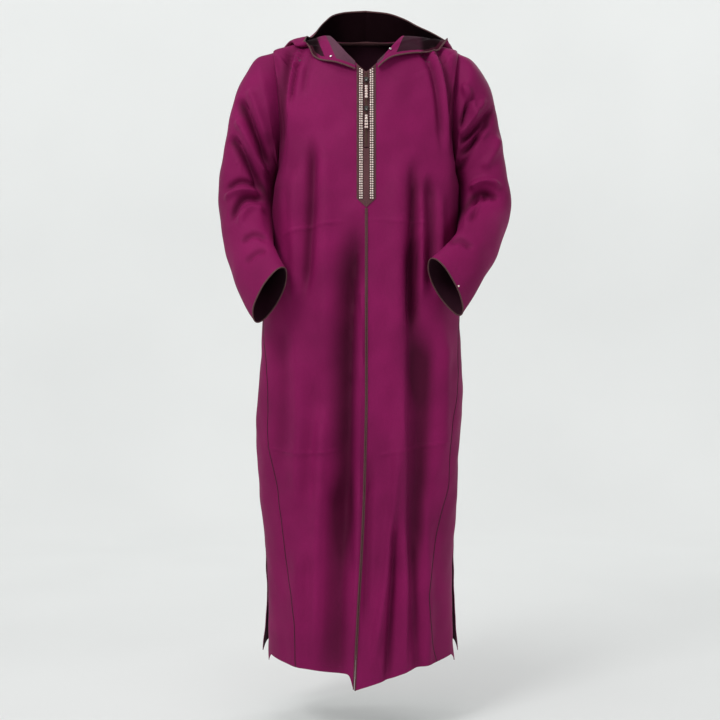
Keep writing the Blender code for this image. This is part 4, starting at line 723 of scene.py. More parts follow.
def weave_map(mesh, points):
    """Map that runs along the threads, in metres, so that the weave follows the cloth."""
    flat = np.stack((run_of(points, 1), run_of(points, 0)), -1).reshape(-1, 2)
    both = np.concatenate((flat, flat))
    loops = np.zeros(len(mesh.loops), dtype=np.int32)
    mesh.loops.foreach_get("vertex_index", loops)
    layer = mesh.uv_layers.new(name="weave")
    layer.data.foreach_set("uv", both[loops].astype(np.float32).ravel())


def tube(name, centres, first, second, profile, materials, closed=False, smooth=True, sharp=50.0):
    """Carry a closed profile along centres with two axes for each."""
    profile = np.asarray(profile, dtype=float)
    if profile.ndim == 2:
        profile = np.broadcast_to(profile, (len(centres), *profile.shape))
    around = profile.shape[1]
    vertices = (centres[:, None] + first[:, None] * profile[..., :1]
                + second[:, None] * profile[..., 1:]).reshape(-1, 3)
    rows = len(centres)
    faces = grid_quads(rows, around, closed=True).tolist()
    if closed:
        ring = np.arange(around)
        after = (ring + 1) % around
        last = (rows - 1) * around
        faces += np.stack((last + ring, last + after, after, ring), -1).tolist()
    else:
        faces.append(list(range(around))[::-1])
        faces.append([(rows - 1) * around + k for k in range(around)])
    return new_object(name, vertices, faces, materials, smooth=smooth, sharp=sharp)


def oval(across, up, sides, turn=0.0):
    angles = np.arange(sides) * 2.0 * math.pi / sides + turn
    return np.stack((across * np.cos(angles), up * np.sin(angles)), -1)


def many(name, shape_points, shape_faces, places, materials, sharp=50.0):
    """One mesh of many like shapes; places are (origin, x axis, y axis, z axis), with scale."""
    shape_points = np.asarray(shape_points, dtype=float)
    vertices = []
    faces = []
    for origin, x_axis, y_axis, z_axis in places:
        start = len(vertices) * len(shape_points)
        vertices.append(origin + shape_points[:, :1] * x_axis + shape_points[:, 1:2] * y_axis
                        + shape_points[:, 2:] * z_axis)
        faces += [[start + i for i in face] for face in shape_faces]
    return new_object(name, np.concatenate(vertices), faces, materials, sharp=sharp)


def ball_shape(around, rings, squareness=1.0):
    """Unit ball, or a rounder-edged block where squareness is below 1."""
    points = [(0.0, 0.0, 1.0)]
    for r in range(1, rings):
        tilt = math.pi * r / rings
        for k in range(around):
            turn = 2.0 * math.pi * (k + 0.5) / around
            values = (math.sin(tilt) * math.cos(turn), math.sin(tilt) * math.sin(turn),
                      math.cos(tilt))
            points.append(tuple(math.copysign(abs(v) ** squareness, v) for v in values))
    points.append((0.0, 0.0, -1.0))
    faces = [(0, 1 + k, 1 + (k + 1) % around) for k in range(around)]
    for r in range(rings - 2):
        for k in range(around):
            a = 1 + r * around + k
            b = 1 + r * around + (k + 1) % around
            faces.append((a, a + around, b + around, b))
    last = len(points) - 1
    start = last - around
    faces += [(start + (k + 1) % around, start + k, last) for k in range(around)]
    return points, faces


# ---- materials -----------------------------------------------------------------------------
def shader(name, colour, rough, metal=0.0, sheen=0.0, sheen_rough=0.4, tint=(1.0, 1.0, 1.0)):
    made = bpy.data.materials.new(name)
    made.use_nodes = True
    body = made.node_tree.nodes["Principled BSDF"]
    body.inputs["Base Color"].default_value = (*colour, 1.0)
    body.inputs["Roughness"].default_value = rough
    body.inputs["Metallic"].default_value = metal
    body.inputs["Sheen Weight"].default_value = sheen
    body.inputs["Sheen Roughness"].default_value = sheen_rough
    body.inputs["Sheen Tint"].default_value = (*tint, 1.0)
    return made, made.node_tree, body


def add(tree, kind, **settings):
    node = tree.nodes.new(kind)
    for name, value in settings.items():
        setattr(node, name, value)
    return node


EVEN = (1.0, 1.0, 1.0)


def texture(tree, kind, source, stretch, turn, **inputs):
    """Grey texture with its own stretch and turn."""
    mapping = add(tree, "ShaderNodeMapping")
    mapping.inputs["Scale"].default_value = stretch
    mapping.inputs["Rotation"].default_value = (0.0, 0.0, turn)
    tree.links.new(source, mapping.inputs["Vector"])
    made = add(tree, kind)
    for name, value in inputs.items():
        made.inputs[name].default_value = value
    tree.links.new(mapping.outputs["Vector"], made.inputs["Vector"])
    return made.outputs["Fac"]


def noise(tree, source, scale, detail, stretch=EVEN):
    return texture(tree, "ShaderNodeTexNoise", source, stretch, 0.0, Scale=scale, Detail=detail)


def waves(tree, source, scale, turn, distortion=0.0):
    return texture(tree, "ShaderNodeTexWave", source, EVEN, turn, Scale=scale,
                   Distortion=distortion)


def blend_colour(tree, factor, dark, light, low, high):
    steps = add(tree, "ShaderNodeValToRGB")
    steps.color_ramp.elements[0].position = low
    steps.color_ramp.elements[0].color = (*dark, 1.0)
    steps.color_ramp.elements[1].position = high
    steps.color_ramp.elements[1].color = (*light, 1.0)
    tree.links.new(factor, steps.inputs["Fac"])
    return steps.outputs["Color"]


def multiply(tree, first, second, factor=1.0):
    mix = add(tree, "ShaderNodeMix", data_type="RGBA", blend_type="MULTIPLY")
    mix.inputs["Factor"].default_value = factor
    tree.links.new(first, mix.inputs["A"])
    tree.links.new(second, mix.inputs["B"])
    return mix.outputs["Result"]


def bump(tree, body, heights):
    """Chain of bumps; heights are (output, strength, distance)."""
    last = None
    for height, strength, distance in heights:
        node = add(tree, "ShaderNodeBump")
        node.inputs["Strength"].default_value = strength
        node.inputs["Distance"].default_value = distance
        tree.links.new(height, node.inputs["Height"])
        if last is not None:
            tree.links.new(last, node.inputs["Normal"])
        last = node.outputs["Normal"]
    tree.links.new(last, body.inputs["Normal"])


def shade(colour, factor):
    return tuple(min(1.0, channel * factor) for channel in colour)


def clouded(tree, body, place, colour, scale, detail, dark, light, low=0.3):
    """Let the colour change a little from place to place."""
    cloud = noise(tree, place.outputs["Object"], scale, detail)
    tone = blend_colour(tree, cloud, shade(colour, dark), shade(colour, light), low, 1.0 - low)
    tree.links.new(tone, body.inputs["Base Color"])
    return cloud


FOLD_SHADE_TINT = (0.17, 0.09, 0.12)     # painted shade: what is left of the colour at the bottom of a fold


def twill(name, colour, sheen, tint, rough, gloss, paints_fold_shade=False):
    """Smooth twill: fine diagonal ribs, faint slubs along the threads, slow changes of tone, and
    painted shade in the folds when asked.
    """
    made, tree, body = shader(name, colour, rough, sheen=sheen, sheen_rough=0.38, tint=tint)
    body.inputs["Specular IOR Level"].default_value = gloss
    place = add(tree, "ShaderNodeTexCoord")
    slow = noise(tree, place.outputs["Object"], 7.0, 2.0)
    slub = noise(tree, place.outputs["UV"], 1.0, 2.0, (900.0, 60.0, 1.0))
    fleck = noise(tree, place.outputs["UV"], 1.0, 1.0, (160.0, 420.0, 1.0))
    tone = blend_colour(tree, slow, shade(colour, 0.88), shade(colour, 1.12), 0.35, 0.65)
    thread = blend_colour(tree, slub, shade(EVEN, 0.93), EVEN, 0.35, 0.65)
    speck = blend_colour(tree, fleck, shade(EVEN, 0.95), EVEN, 0.35, 0.6)
    toned = multiply(tree, multiply(tree, tone, thread), speck)
    # painted shade: darken the colour by the fold shade kept in the mesh's hollow attribute
    if paints_fold_shade:
        inside = add(tree, "ShaderNodeAttribute", attribute_name="hollow")
        shadow = blend_colour(tree, inside.outputs["Fac"], EVEN, FOLD_SHADE_TINT, 0.0, 1.0)
        toned = multiply(tree, toned, shadow)
    tree.links.new(toned, body.inputs["Base Color"])
    ribs = waves(tree, place.outputs["UV"], 220.0, math.radians(58.0))
    bump(tree, body, ((ribs, 0.18, 0.0002), (slub, 0.12, 0.0004), (fleck, 0.08, 0.0005)))
    return made


def braid_material(name, colour, pitch):
    made, tree, body = shader(name, colour, 0.8, sheen=0.06, sheen_rough=0.5)
    body.inputs["Specular IOR Level"].default_value = 0.25
    place = add(tree, "ShaderNodeTexCoord")
    tone = clouded(tree, body, place, colour, 900.0, 2.0, 0.6, 1.35)
    rib = waves(tree, place.outputs["Object"], pitch, math.radians(45.0), 1.0)
    bump(tree, body, ((rib, 0.35, 0.0005), (tone, 0.25, 0.0004)))
    return made


def metal_material(name, colour, rough):
    made, tree, body = shader(name, colour, rough, metal=1.0)
    place = add(tree, "ShaderNodeTexCoord")
    wear = clouded(tree, body, place, colour, 700.0, 3.0, 0.75, 1.15)
    bump(tree, body, ((wear, 0.08, 0.0002),))
    return made


def bead_material(name, colour):
    made, tree, body = shader(name, colour, 0.34)
    body.inputs["Coat Weight"].default_value = 0.3
    body.inputs["Subsurface Weight"].default_value = 0.1
    body.inputs["Subsurface Radius"].default_value = (0.002, 0.001, 0.001)
    place = add(tree, "ShaderNodeTexCoord")
    cloud = clouded(tree, body, place, colour, 350.0, 2.0, 0.78, 1.1, low=0.35)
    bump(tree, body, ((cloud, 0.1, 0.0003),))
    return made


def finishes():
    """Materials of the robe, made once."""
    colours = bpy.context.scene.robe_colours
    if "plum_twill" not in bpy.data.materials:
        # both sides of the robe cloth carry painted shade in their folds
        twill("plum_twill", tuple(colours.cloth), sheen=0.02, tint=tuple(colours.sheen),
              rough=0.70, gloss=0.12, paints_fold_shade=True)
        twill("plum_reverse", tuple(colours.reverse), sheen=0.04, tint=(0.8, 0.6, 0.7),
              rough=0.85, gloss=0.05, paints_fold_shade=True)
        twill("plum_facing", tuple(colours.facing), sheen=0.06, tint=(0.9, 0.7, 0.8),
              rough=0.8, gloss=0.10)
        braid_material("brown_braid", tuple(colours.trim), 500.0)
        braid_material("brown_cord", shade(tuple(colours.trim), 1.1), 700.0)
        braid_material("dark_thread", shade(tuple(colours.trim), 0.28), 900.0)
        braid_material("plum_thread", shade(tuple(colours.cloth), 0.8), 900.0)
        bead_material("cream_bead", tuple(colours.bead))
        metal_material("dark_brass", tuple(colours.teeth), 0.42)
        metal_material("bright_metal", tuple(colours.metal), 0.25)
        metal_material("slider_metal", shade(tuple(colours.metal), 0.14), 0.34)
    return bpy.data.materials


def put(made, body="robe", nodes=()):
    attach(made, body)
    if nodes:
        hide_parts(*nodes)
    return made


# ---- sizes and colours ---------------------------------------------------------------------
def size_setting(name, text, default, low, high):
    return FloatProperty(name=name, description=text, default=default, min=low, max=high,
                         unit="LENGTH")


def colour_setting(name, text, default):
    return FloatVectorProperty(name=name, description=text, subtype="COLOR", size=3,
                               default=default, min=0.0, max=1.0)


class RobeSizes(bpy.types.PropertyGroup):
    """Sizes a maker would change."""
    thickness: size_setting("Cloth", "Thickness of the robe cloth", 0.0013, 0.0005, 0.003)
    cell: size_setting("Cell", "Size of a mesh cell on the cloth", 0.0040, 0.002, 0.02)
    bead_pitch: size_setting("Bead pitch", "From one bead row to the next", 0.0053, 0.003, 0.01)
    bead_size: size_setting("Bead", "Width of a bead of the strips", 0.0038, 0.002, 0.006)
    cord: size_setting("Cord", "Thickness of a cord of the braid", 0.0030, 0.001, 0.006)
    tooth_pitch: size_setting("Zip teeth", "From one zip tooth to the next", 0.0022, 0.001, 0.004)
    stitch: size_setting("Stitch", "Length of a hem stitch", 0.0030, 0.001, 0.006)
    binding: size_setting("Binding", "Width of the edge binding", 0.0040, 0.002, 0.01)
    strands: IntProperty(name="Strands", description="Sides of the fine round pieces",
                         default=10, min=6, max=24)


class RobeColours(bpy.types.PropertyGroup):
    """Colours a maker would change."""
    cloth: colour_setting("Cloth", "Right side of the cloth", (0.206, 0.0062, 0.078))
    sheen: colour_setting("Sheen", "Tint of the cloth's sheen", (1.0, 0.30, 0.62))
    reverse: colour_setting("Reverse", "Wrong side of the cloth", (0.034, 0.009, 0.018))
    facing: colour_setting("Facing", "Inside of the neck", (0.110, 0.042, 0.070))
    trim: colour_setting("Trim", "Braid, binding and placket", (0.098, 0.036, 0.042))
    bead: colour_setting("Beads", "Beads of the strips and pulls", (0.800, 0.640, 0.590))
    teeth: colour_setting("Zip teeth", "Teeth of the zip", (0.160, 0.095, 0.075))
    metal: colour_setting("Metal", "Sliders and snaps", (0.700, 0.680, 0.650))


# solids of the frame that one cut of cloth stands for
PARTS_OF = {"front": ("skirt", "body", "yoke"), "back": ("skirt", "body", "yoke"),
            "sleeve": ("upper", "elbow", "lower")}
FRONT_CELLS = 64       # mesh columns across each front, half the back, and each gore
BACK_CELLS = 56
GORE_CELLS = 22
SEAM_WIDTH = 0.0035
SEAM_DEPTH = 0.0008


def panel_grid(part, side, stations, starts, ends, columns):
    shares = np.linspace(0.0, 1.0, columns)[None, :]
    turns = starts[:, None] + (ends - starts)[:, None] * shares
    return skin(part, side, stations, turns)


def stations_between(low, high, cell):
    """Rows along the cloth, with the named levels among them."""
    named = (low, GORE_TOP, -0.045, 0.0, ZIP_END, TIP_STATION, high)
    marks = sorted({mark for mark in named if low <= mark <= high})
    rows = [marks[0]]
    for a, b in zip(marks[:-1], marks[1:]):
        count = max(1, int(round((b - a) / cell)))
        rows += [a + (b - a) * k / count for k in range(1, count + 1)]
    return np.array(rows)


def seam_dip(points, normals, left=True, right=True):
    """Sink the cloth a little along its sewn edges."""
    across = run_of(points, 1)
    dip = np.zeros(points.shape[:2])
    if left:
        dip += np.exp(-(across / SEAM_WIDTH) ** 2)
    if right:
        dip += np.exp(-((across[:, -1:] - across) / SEAM_WIDTH) ** 2)
    return points - normals * (dip * SEAM_DEPTH)[..., None]


def cloth_piece(name, node, points, normals, outward, closed=False, index_of=None):
    """Sew one cut of cloth and hide the solids that it replaces."""
    sizes = bpy.context.scene.robe_sizes
    store = finishes()
    made = shell(name, points, normals, outward, LIFT_CLOTH, sizes.thickness - LIFT_CLOTH,
                 [store["plum_twill"], store["plum_reverse"], store["plum_facing"]], closed,
                 index_of)
    kind = node.split("_")[0]
    parts = () if "gore" in node else PARTS_OF.get(kind, ())
    put(made, nodes=[f"{node}_{part}" for part in parts] or [node])
    # painted shade in the folds of panels and sleeves, on both skins; the hood gets its own below
    if kind != "hood":
        inside = painted_fold_shade(node, points, normals).ravel()
        store_painted_shade(made, np.concatenate((inside, inside)))
    return made


# inside of the hood near the V: where the strip of robe cloth starts and ends, and the width of
# the rim's own hem of robe cloth
STRIP = {-1: (0.067, 0.090), 1: (0.038, 0.062)}
STRIP_LEAN = 0.35
FRONT_LEVEL = 0.016
RIM_HEM = 0.0110


def inside_of_hood(side, points):
    """Cloth on the inner faces of the hood: facing in the V, a strip of robe cloth, then lining."""
    steps = np.linalg.norm(np.diff(points[:, ::-1], axis=1), axis=-1)
    from_rim = (np.cumsum(steps, axis=1) - steps / 2.0)[:, ::-1]
    from_rim = ((from_rim[:-1] + from_rim[1:]) / 2.0).ravel()

    def chosen(centres):
        low, high = (bound - STRIP_LEAN * (-0.060 - centres[:, 2]) for bound in STRIP[side])
        far = np.abs(centres[:, 0])
        ahead = (centres[:, 2] < FRONT_LEVEL) & (centres[:, 1] < 0.03)
        marks = np.full(len(centres), 1)
        marks[ahead & (far < low)] = 2
        marks[ahead & (far >= low) & (far < high)] = 0
        marks[(from_rim < RIM_HEM) & (centres[:, 1] < 0.02)] = 0
        return marks
    return chosen


FOLD_SHADE_FULL = 0.024    # fold depth at which the painted shade is darkest
FOLD_SHADE_SHARE = 0.78    # strength of the painted shade in the deepest folds
BESIDE_SHADE_SHARE = 0.55    # painted shade between a sleeve and the body


def painted_fold_shade(node, points, normals):
    """Painted shade at each point of a panel or sleeve, 0 to 1: how far inside the folds it lies,
    and how near it is to the gap between a sleeve and the body.
    """
    x, y, z = (points[..., k] for k in range(3))
    if node.startswith("sleeve"):
        side = 1 if "left" in node else -1
        push = SLEEVE_DEPTH * np.where(normals[..., 1] < 0.0,
                                       fold_push(SLEEVE_FRONT_FOLDS[side], x, z),
                                       fold_push(SLEEVE_BACK_FOLDS[side], x, z))
        beside = ramp(0.250 - np.abs(x), 0.0, 0.050) * ramp(-z, 0.10, 0.24) * ramp(y, -0.13, -0.05)
    else:
        push = fold_push(BACK_FOLDS if node.startswith("back") else FRONT_FOLDS, x, z)
        beside = ramp(np.abs(x), 0.178, 0.200) * ramp(-z, 0.05, 0.13) * ramp(z, -0.58, -0.40)
    shade_amount = np.clip(-push / FOLD_SHADE_FULL, 0.0, 1.0) + BESIDE_SHADE_SHARE * beside
    return np.clip(shade_amount, 0.0, 1.0) * FOLD_SHADE_SHARE


def store_painted_shade(made, depth):
    """Keep the painted shade of each point, which darkens the cloth's colour there."""
    layer = made.data.attributes.new("hollow", "FLOAT", "POINT")
    layer.data.foreach_set("value", np.asarray(depth, dtype=np.float32))


FACING_LEVEL = -0.105


def near_neck(centres):
    """Inner faces near the neckline carry the facing."""
    return np.where((centres[:, 2] > FACING_LEVEL) & (centres[:, 1] < 0.03), 2, 1)


class ROBE_OT_fronts(bpy.types.Operator):
    """Build the two fronts, with half the yoke each."""
    bl_idname = "robe.fronts"
    bl_label = "Fronts"

    def execute(self, context):
        cell = context.scene.robe_sizes.cell
        for side in (-1, 1):
            stations = stations_between(HEM_STATION, NECK_STATION, cell)
            starts = turn_at("front", side, stations, inner_offset(stations))
            ends = seam_turns("front", side, stations)
            points, normals = panel_grid("front", side, stations, starts, ends, FRONT_CELLS)
            low = stations <= GORE_TOP
            points[low] = seam_dip(points[low], normals[low], left=False)
            cloth_piece(f"front_panel_{SIDE_NAMES[side]}", f"front_{SIDE_NAMES[side]}", points,
                        normals, side, index_of=near_neck)
        return {"FINISHED"}


class ROBE_OT_back(bpy.types.Operator):
    """Build the back, in one with its half of the yoke."""
    bl_idname = "robe.back"
    bl_label = "Back"

    def execute(self, context):
        cell = context.scene.robe_sizes.cell
        stations = stations_between(HEM_STATION, NECK_STATION, cell)
        halves = {}
        for side in (-1, 1):
            ends = seam_turns("back", side, stations)
            halves[side] = panel_grid("back", side, stations, np.zeros(len(stations)), ends,
                                      BACK_CELLS)
        points = np.concatenate((halves[-1][0][:, :0:-1], halves[1][0]), axis=1)
        normals = np.concatenate((halves[-1][1][:, :0:-1], halves[1][1]), axis=1)
        low = stations <= GORE_TOP
        points[low] = seam_dip(points[low], normals[low])
        cloth_piece("back_panel", "back", points, normals, -1)
        return {"FINISHED"}


class ROBE_OT_gores(bpy.types.Operator):
    """Build the four side gores, open below as the side slits."""
    bl_idname = "robe.gores"
    bl_label = "Side gores"

    def execute(self, context):
        cell = context.scene.robe_sizes.cell
        for part in ("front", "back"):
            for side in (-1, 1):
                stations = stations_between(HEM_STATION, GORE_TOP, cell)
                starts = seam_turns(part, side, stations)
                points, normals = panel_grid(part, side, stations, starts,
                                             np.ones(len(stations)), GORE_CELLS)
                points = seam_dip(points, normals, right=False)
                word = SIDE_NAMES[side]
                cloth_piece(f"{part}_side_gore_{word}", f"{part}_gore_{word}", points, normals,
                            side if part == "front" else -side)
        return {"FINISHED"}


# ---- sleeves -------------------------------------------------------------------------------
ARM_STEPS = len(ARM_STATIONS) - 1.0    # steps down the front of the armhole, and up its back


def armhole(side, places):
    """Armhole loop; places run from the shoulder tip down the front and up the back."""
    marks = np.array(ARM_STATIONS)
    keys = np.arange(len(marks))
    down = places <= ARM_STEPS
    stations = np.where(down, curve(keys, marks[::-1], places),
                        curve(keys, marks, places - ARM_STEPS))
    one = np.ones((len(places), 1))
    front = form("front", side, stations, one)[:, 0]
    back = form("back", side, stations, one)[:, 0]
    front[:, 1] += valley("front", stations)
    back[:, 1] -= valley("back", stations)
    points = np.where(down[:, None], front, back)
    normals = unit(form_normals("front", side, stations, one)[:, 0]
                   + form_normals("back", side, stations, one)[:, 0])
    return points, normals


SLEEVE_PLAN = 2.2      # squareness of the sleeve's rings; 2 is a plain oval


def sleeve_rings(side, places):
    """Rings of the sleeve at whole steps: the armhole, then one for each row of the table."""
    rows = SLEEVES[side]
    angle = places / (2.0 * ARM_STEPS) * 2.0 * math.pi
    power = 2.0 / SLEEVE_PLAN
    cosine = np.cos(angle)
    sine = np.sin(angle)
    a = np.sign(cosine) * np.abs(cosine) ** power
    b = np.sign(sine) * np.abs(sine) ** power
    rings = [armhole(side, places)[0]]
    for k in range(len(rows["half"])):
        inner = np.array((side * rows["in_x"][k], rows["mid_y"][k], rows["in_z"][k]))
        outer = np.array((side * rows["out_x"][k], rows["mid_y"][k], rows["out_z"][k]))
        tilt = math.radians(rows["tilt"][k])
        forward = np.array((0.0, -math.cos(tilt), math.sin(tilt))) * rows["half"][k]
        rings.append((inner + outer) / 2.0 + a[:, None] * (outer - inner) / 2.0
                     + b[:, None] * forward)
    return np.array(rings), sine


SLEEVE_DEPTH = 1.15    # sleeve folds against body folds
SLEEVE_LEVELS = 170
SLEEVE_AROUND = 144


def sleeve_grid(side):
    """Folded cloth of a sleeve, a row for each level from the armhole to the cuff."""
    places = np.arange(SLEEVE_AROUND) * (2.0 * ARM_STEPS) / SLEEVE_AROUND
    rings, sine = sleeve_rings(side, places)
    at = np.linspace(0.0, len(rings) - 1.0, SLEEVE_LEVELS)
    points = curve(np.arange(len(rings), dtype=float), rings, at)
    along = np.gradient(points, axis=0)
    across = np.roll(points, -1, axis=1) - np.roll(points, 1, axis=1)
    normals = unit(np.cross(across, along))
    middle = points.mean(axis=1, keepdims=True)
    if (normals * (points - middle)).sum() < 0.0:
        normals = -normals
    front = ramp(sine, -0.25, 0.35)[None, :]
    back = ramp(-sine, -0.25, 0.35)[None, :]
    x, z = points[..., 0], points[..., 2]
    push = SLEEVE_DEPTH * (fold_push(SLEEVE_FRONT_FOLDS[side], x, z) * front
                           + fold_push(SLEEVE_BACK_FOLDS[side], x, z) * back)
    beside = ramp(-side * normals[..., 0], 0.40, 0.85)
    push = (push + drift(points)) * (1.0 - beside)
    fade = ramp(at, 0.0, 0.8)[:, None]
    return points + normals * (push * fade)[..., None], normals


class ROBE_OT_sleeves(bpy.types.Operator):
    """Build the two sleeves, from the armhole to the cuff."""
    bl_idname = "robe.sleeves"
    bl_label = "Sleeves"

    def execute(self, context):
        for side in (-1, 1):
            word = SIDE_NAMES[side]
            points, normals = sleeve_grid(side)
            cloth_piece(f"sleeve_tube_{word}", f"sleeve_{word}", points, normals, side,
                        closed=True)
        return {"FINISHED"}


# ---- hood ----------------------------------------------------------------------------------
def robe_tree():
    """Search tree of the outer skins that the hood lies on."""
    vertices = []
    faces = []
    for name in ("front_panel_right", "front_panel_left", "back_panel", "sleeve_tube_right",
                 "sleeve_tube_left"):
        mesh = bpy.data.objects[name].data
        outer = len(mesh.vertices) // 2
        start = len(vertices)
        vertices += [v.co.copy() for v in mesh.vertices[:outer]]
        faces += [tuple(start + i for i in face.vertices) for face in mesh.polygons
                  if max(face.vertices) < outer]
    return BVHTree.FromPolygons(vertices, faces)


def cleared(tree, point, gap):
    """Move a point out until it is a set distance from the robe under it."""
    for _ in range(3):
        spot, normal, _, distance = tree.find_nearest(Vector(point))
        away = Vector(point) - spot
        if away.dot(normal) < 0.0:
            point = np.array(spot + normal * gap)
        elif distance < gap:
            point = np.array(spot + away.normalized() * gap)
        else:
            break
    return np.array(point)


def laid(tree, point, gap):
    """Nearest place at a set distance out from the robe."""
    spot, normal, _, _ = tree.find_nearest(Vector(point))
    return np.array(spot + normal * gap)


def neck_place(side, turn):
    """Place on the neckline; turn is 0 at the centre front, 1 at the shoulder, 2 at the back."""
    part = "front" if turn <= 1.0 else "back"
    share = turn if turn <= 1.0 else 2.0 - turn
    points, normals = skin(part, side, np.array([NECK_STATION]), np.array([[share]]))
    return points[0, 0], normals[0, 0]


def through(marks, shares):
    """Places at shares of the length of a curve through some marks."""
    lengths = [0.0]
    for a, b in zip(marks[:-1], marks[1:]):
        lengths.append(lengths[-1] + max(1e-4, float(np.linalg.norm(b - a))))
    return curve(lengths, np.array(marks), np.array(shares) * lengths[-1])


def hood_line(tree, side, step):
    """Line of the hood cloth from the neck seam, round the pouch, to the rim."""
    rows = HOODS[side]
    keys = np.arange(len(rows["neck"]), dtype=float)
    row = {name: float(curve(keys, rows[name], np.array([step]))[0]) for name in rows}
    folded = row["folded"]
    rise = TURN_RISE * min(1.0, folded * RISE_FIRST)
    gap = HOOD_GAP + FOLD_GAP * float(ramp(step, 4.0, 6.0))
    seam, arrow = neck_place(side, row["neck"])
    neck = seam + arrow * 0.0026
    turn = np.array((side * row["turn_x"], row["turn_y"], row["turn_z"]))
    rim = np.array((side * row["rim_x"], row["rim_y"], row["rim_z"]))
    outward = unit(np.array((turn[0], max(turn[1], 0.0) + 0.02, 0.02)))
    lift = outward * HOOD_REACH * row["puff"]
    spot, away, _, _ = tree.find_nearest(Vector(turn))
    laid_turn = np.array(spot + away * gap)
    fold_in = laid_turn * folded + (neck + (rim - neck) * 0.45) * (1.0 - folded)
    raised = laid_turn + np.array(away) * rise
    fold_out = raised * folded + (neck + (rim - neck) * 0.55) * (1.0 - folded)
    rim = cleared(tree, rim, gap + rise)
    fold_out = cleared(tree, fold_out, gap + rise)
    apart = rim - fold_out
    short = MIN_RUN ** 2 - float(np.dot(apart, apart))
    if folded > 0.0 and short > 0.0:
        rising = unit(np.array(away) * 0.4 + np.array((0.0, 0.0, 1.0)))
        along = float(np.dot(apart, rising))
        rim = rim + rising * (math.sqrt(along * along + short) - along)
    under = [laid(tree, neck + (fold_in - neck) * share + lift, gap) for share in (0.33, 0.68)]
    over = [fold_out + (rim - fold_out) * share + outward * row["puff"] * bulge
            for share, bulge in ((0.16, 0.75), (0.5, 1.0))]
    power = 1.0 + 0.6 * folded
    lower = through([neck] + under + [fold_in],
                    [(k / HOOD_LOWER) ** power for k in range(HOOD_LOWER + 1)])
    upper = through([fold_out] + over + [rim], [k / HOOD_UPPER for k in range(HOOD_UPPER + 1)])
    line = [neck]
    line += [cleared(tree, point, HOOD_GAP + (gap - HOOD_GAP) * min(1.0, k / 1.5))
             for k, point in enumerate(lower[1:], 1)]
    line += [cleared(tree, point, gap + rise) for point in upper]
    return np.array(line)


def relaxed(points, passes):
    """Even out a grid without moving its border."""
    for _ in range(passes):
        inner = (points[:-2, 1:-1] + points[2:, 1:-1] + points[1:-1, :-2] + points[1:-1, 2:]) / 4.0
        points = points.copy()
        points[1:-1, 1:-1] = points[1:-1, 1:-1] * 0.4 + inner * 0.6
        points[1:-1, -1] = points[1:-1, -1] * 0.5 + (points[:-2, -1] + points[2:, -1]) * 0.25
    return points


# soft folds of the hood: station and column where each starts and ends, width in columns, height
HOOD_FOLDS = (
    (6.0, 7.5, 8.5, 10.0, 0.8, 0.0020),
    (7.5, 7.6, 10.5, 9.5, 0.9, -0.0025),
    (8.5, 7.4, 11.0, 8.4, 0.7, 0.0030),
    (6.5, 8.4, 9.5, 11.2, 0.6, -0.0015),
    (3.0, 2.0, 5.5, 5.0, 0.9, 0.0012),
)


def hood_ripple(steps, columns):
    """How far the soft folds of the hood push its cloth out."""
    s, c = np.meshgrid(steps, columns, indexing="ij")
    total = np.zeros_like(s)
    for s0, c0, s1, c1, width, height in HOOD_FOLDS:
        share = np.clip((s - s0) / (s1 - s0), 0.0, 1.0)
        inside = ramp(s, s0 - 0.6, s0 + 0.6) * ramp(-s, -s1 - 0.6, -s1 + 0.6)
        middle = c0 + (c1 - c0) * share
        total += height * inside * np.exp(-((c - middle) / width) ** 2)
    return total


HOOD_END = 11.0        # last step of the hood, where its halves meet at the centre back


def hood_normals(points, side):
    along = np.gradient(points, axis=0)
    across = np.gradient(points, axis=1)
    return -side * unit(np.cross(along, across))


def hood_grid(tree, side):
    """Cloth of half the hood: a row for each step, a column from the neck seam to the rim."""
    steps = np.linspace(0.0, HOOD_END, 67)
    lines = np.array([hood_line(tree, side, float(step)) for step in steps])
    lines[-1, :, 0] = 0.0
    columns = np.arange(lines.shape[1], dtype=float)
    lines = relaxed(lines, 2)
    fine_columns = np.linspace(0.0, columns[-1], 78)
    points = np.swapaxes(spline(columns, np.swapaxes(lines, 0, 1), fine_columns), 0, 1)
    fine_steps = np.linspace(0.0, HOOD_END, 150)
    points = spline(steps, points, fine_steps)
    points[-1, :, 0] = 0.0
    normals = hood_normals(points, side)
    ripple = hood_ripple(fine_steps, fine_columns) + drift(points) * 0.6
    edge = ramp(fine_columns, 0.0, 1.5)[None, :] * ramp(HOOD_END - fine_steps, 0.0, 0.4)[:, None]
    points = points + normals * (ripple * edge)[..., None]
    for r in range(points.shape[0]):
        gap = HOOD_GAP * 0.8 + FOLD_GAP * 0.5 * float(ramp(fine_steps[r], 4.0, 6.0))
        for c in range(1, points.shape[1]):
            points[r, c] = cleared(tree, points[r, c], gap)
    points[-1, :, 0] = 0.0
    normals = hood_normals(points, side)
    normals[-1, :, 0] = 0.0
    return points, unit(normals)


EDGE_HALF = 0.00135    # half the thickness of a bound edge


def bound_edge(name, node, edge, inward, normals, width, closed):
    """Folded band over an edge of the cloth, rounded along its turn."""
    half = width / 2.0
    size = (half, EDGE_HALF)
    mid = LIFT_CLOTH - bpy.context.scene.robe_sizes.thickness / 2.0
    profile = oval(*size, 14)
    profile = np.sign(profile) * np.abs(profile / size) ** 0.75 * size
    centres = edge + inward * (half - 0.0006) + normals * mid
    made = tube(name, centres, inward, normals, profile, [finishes()["brown_braid"]], closed)
    return put(made, nodes=[node])


# where painted shade darkens the cloth inside the hood, at the two sides
HOOD_SHADE_EDGE = {-1: 0.100, 1: 0.118}
HOOD_SHADE_REACH = 0.014


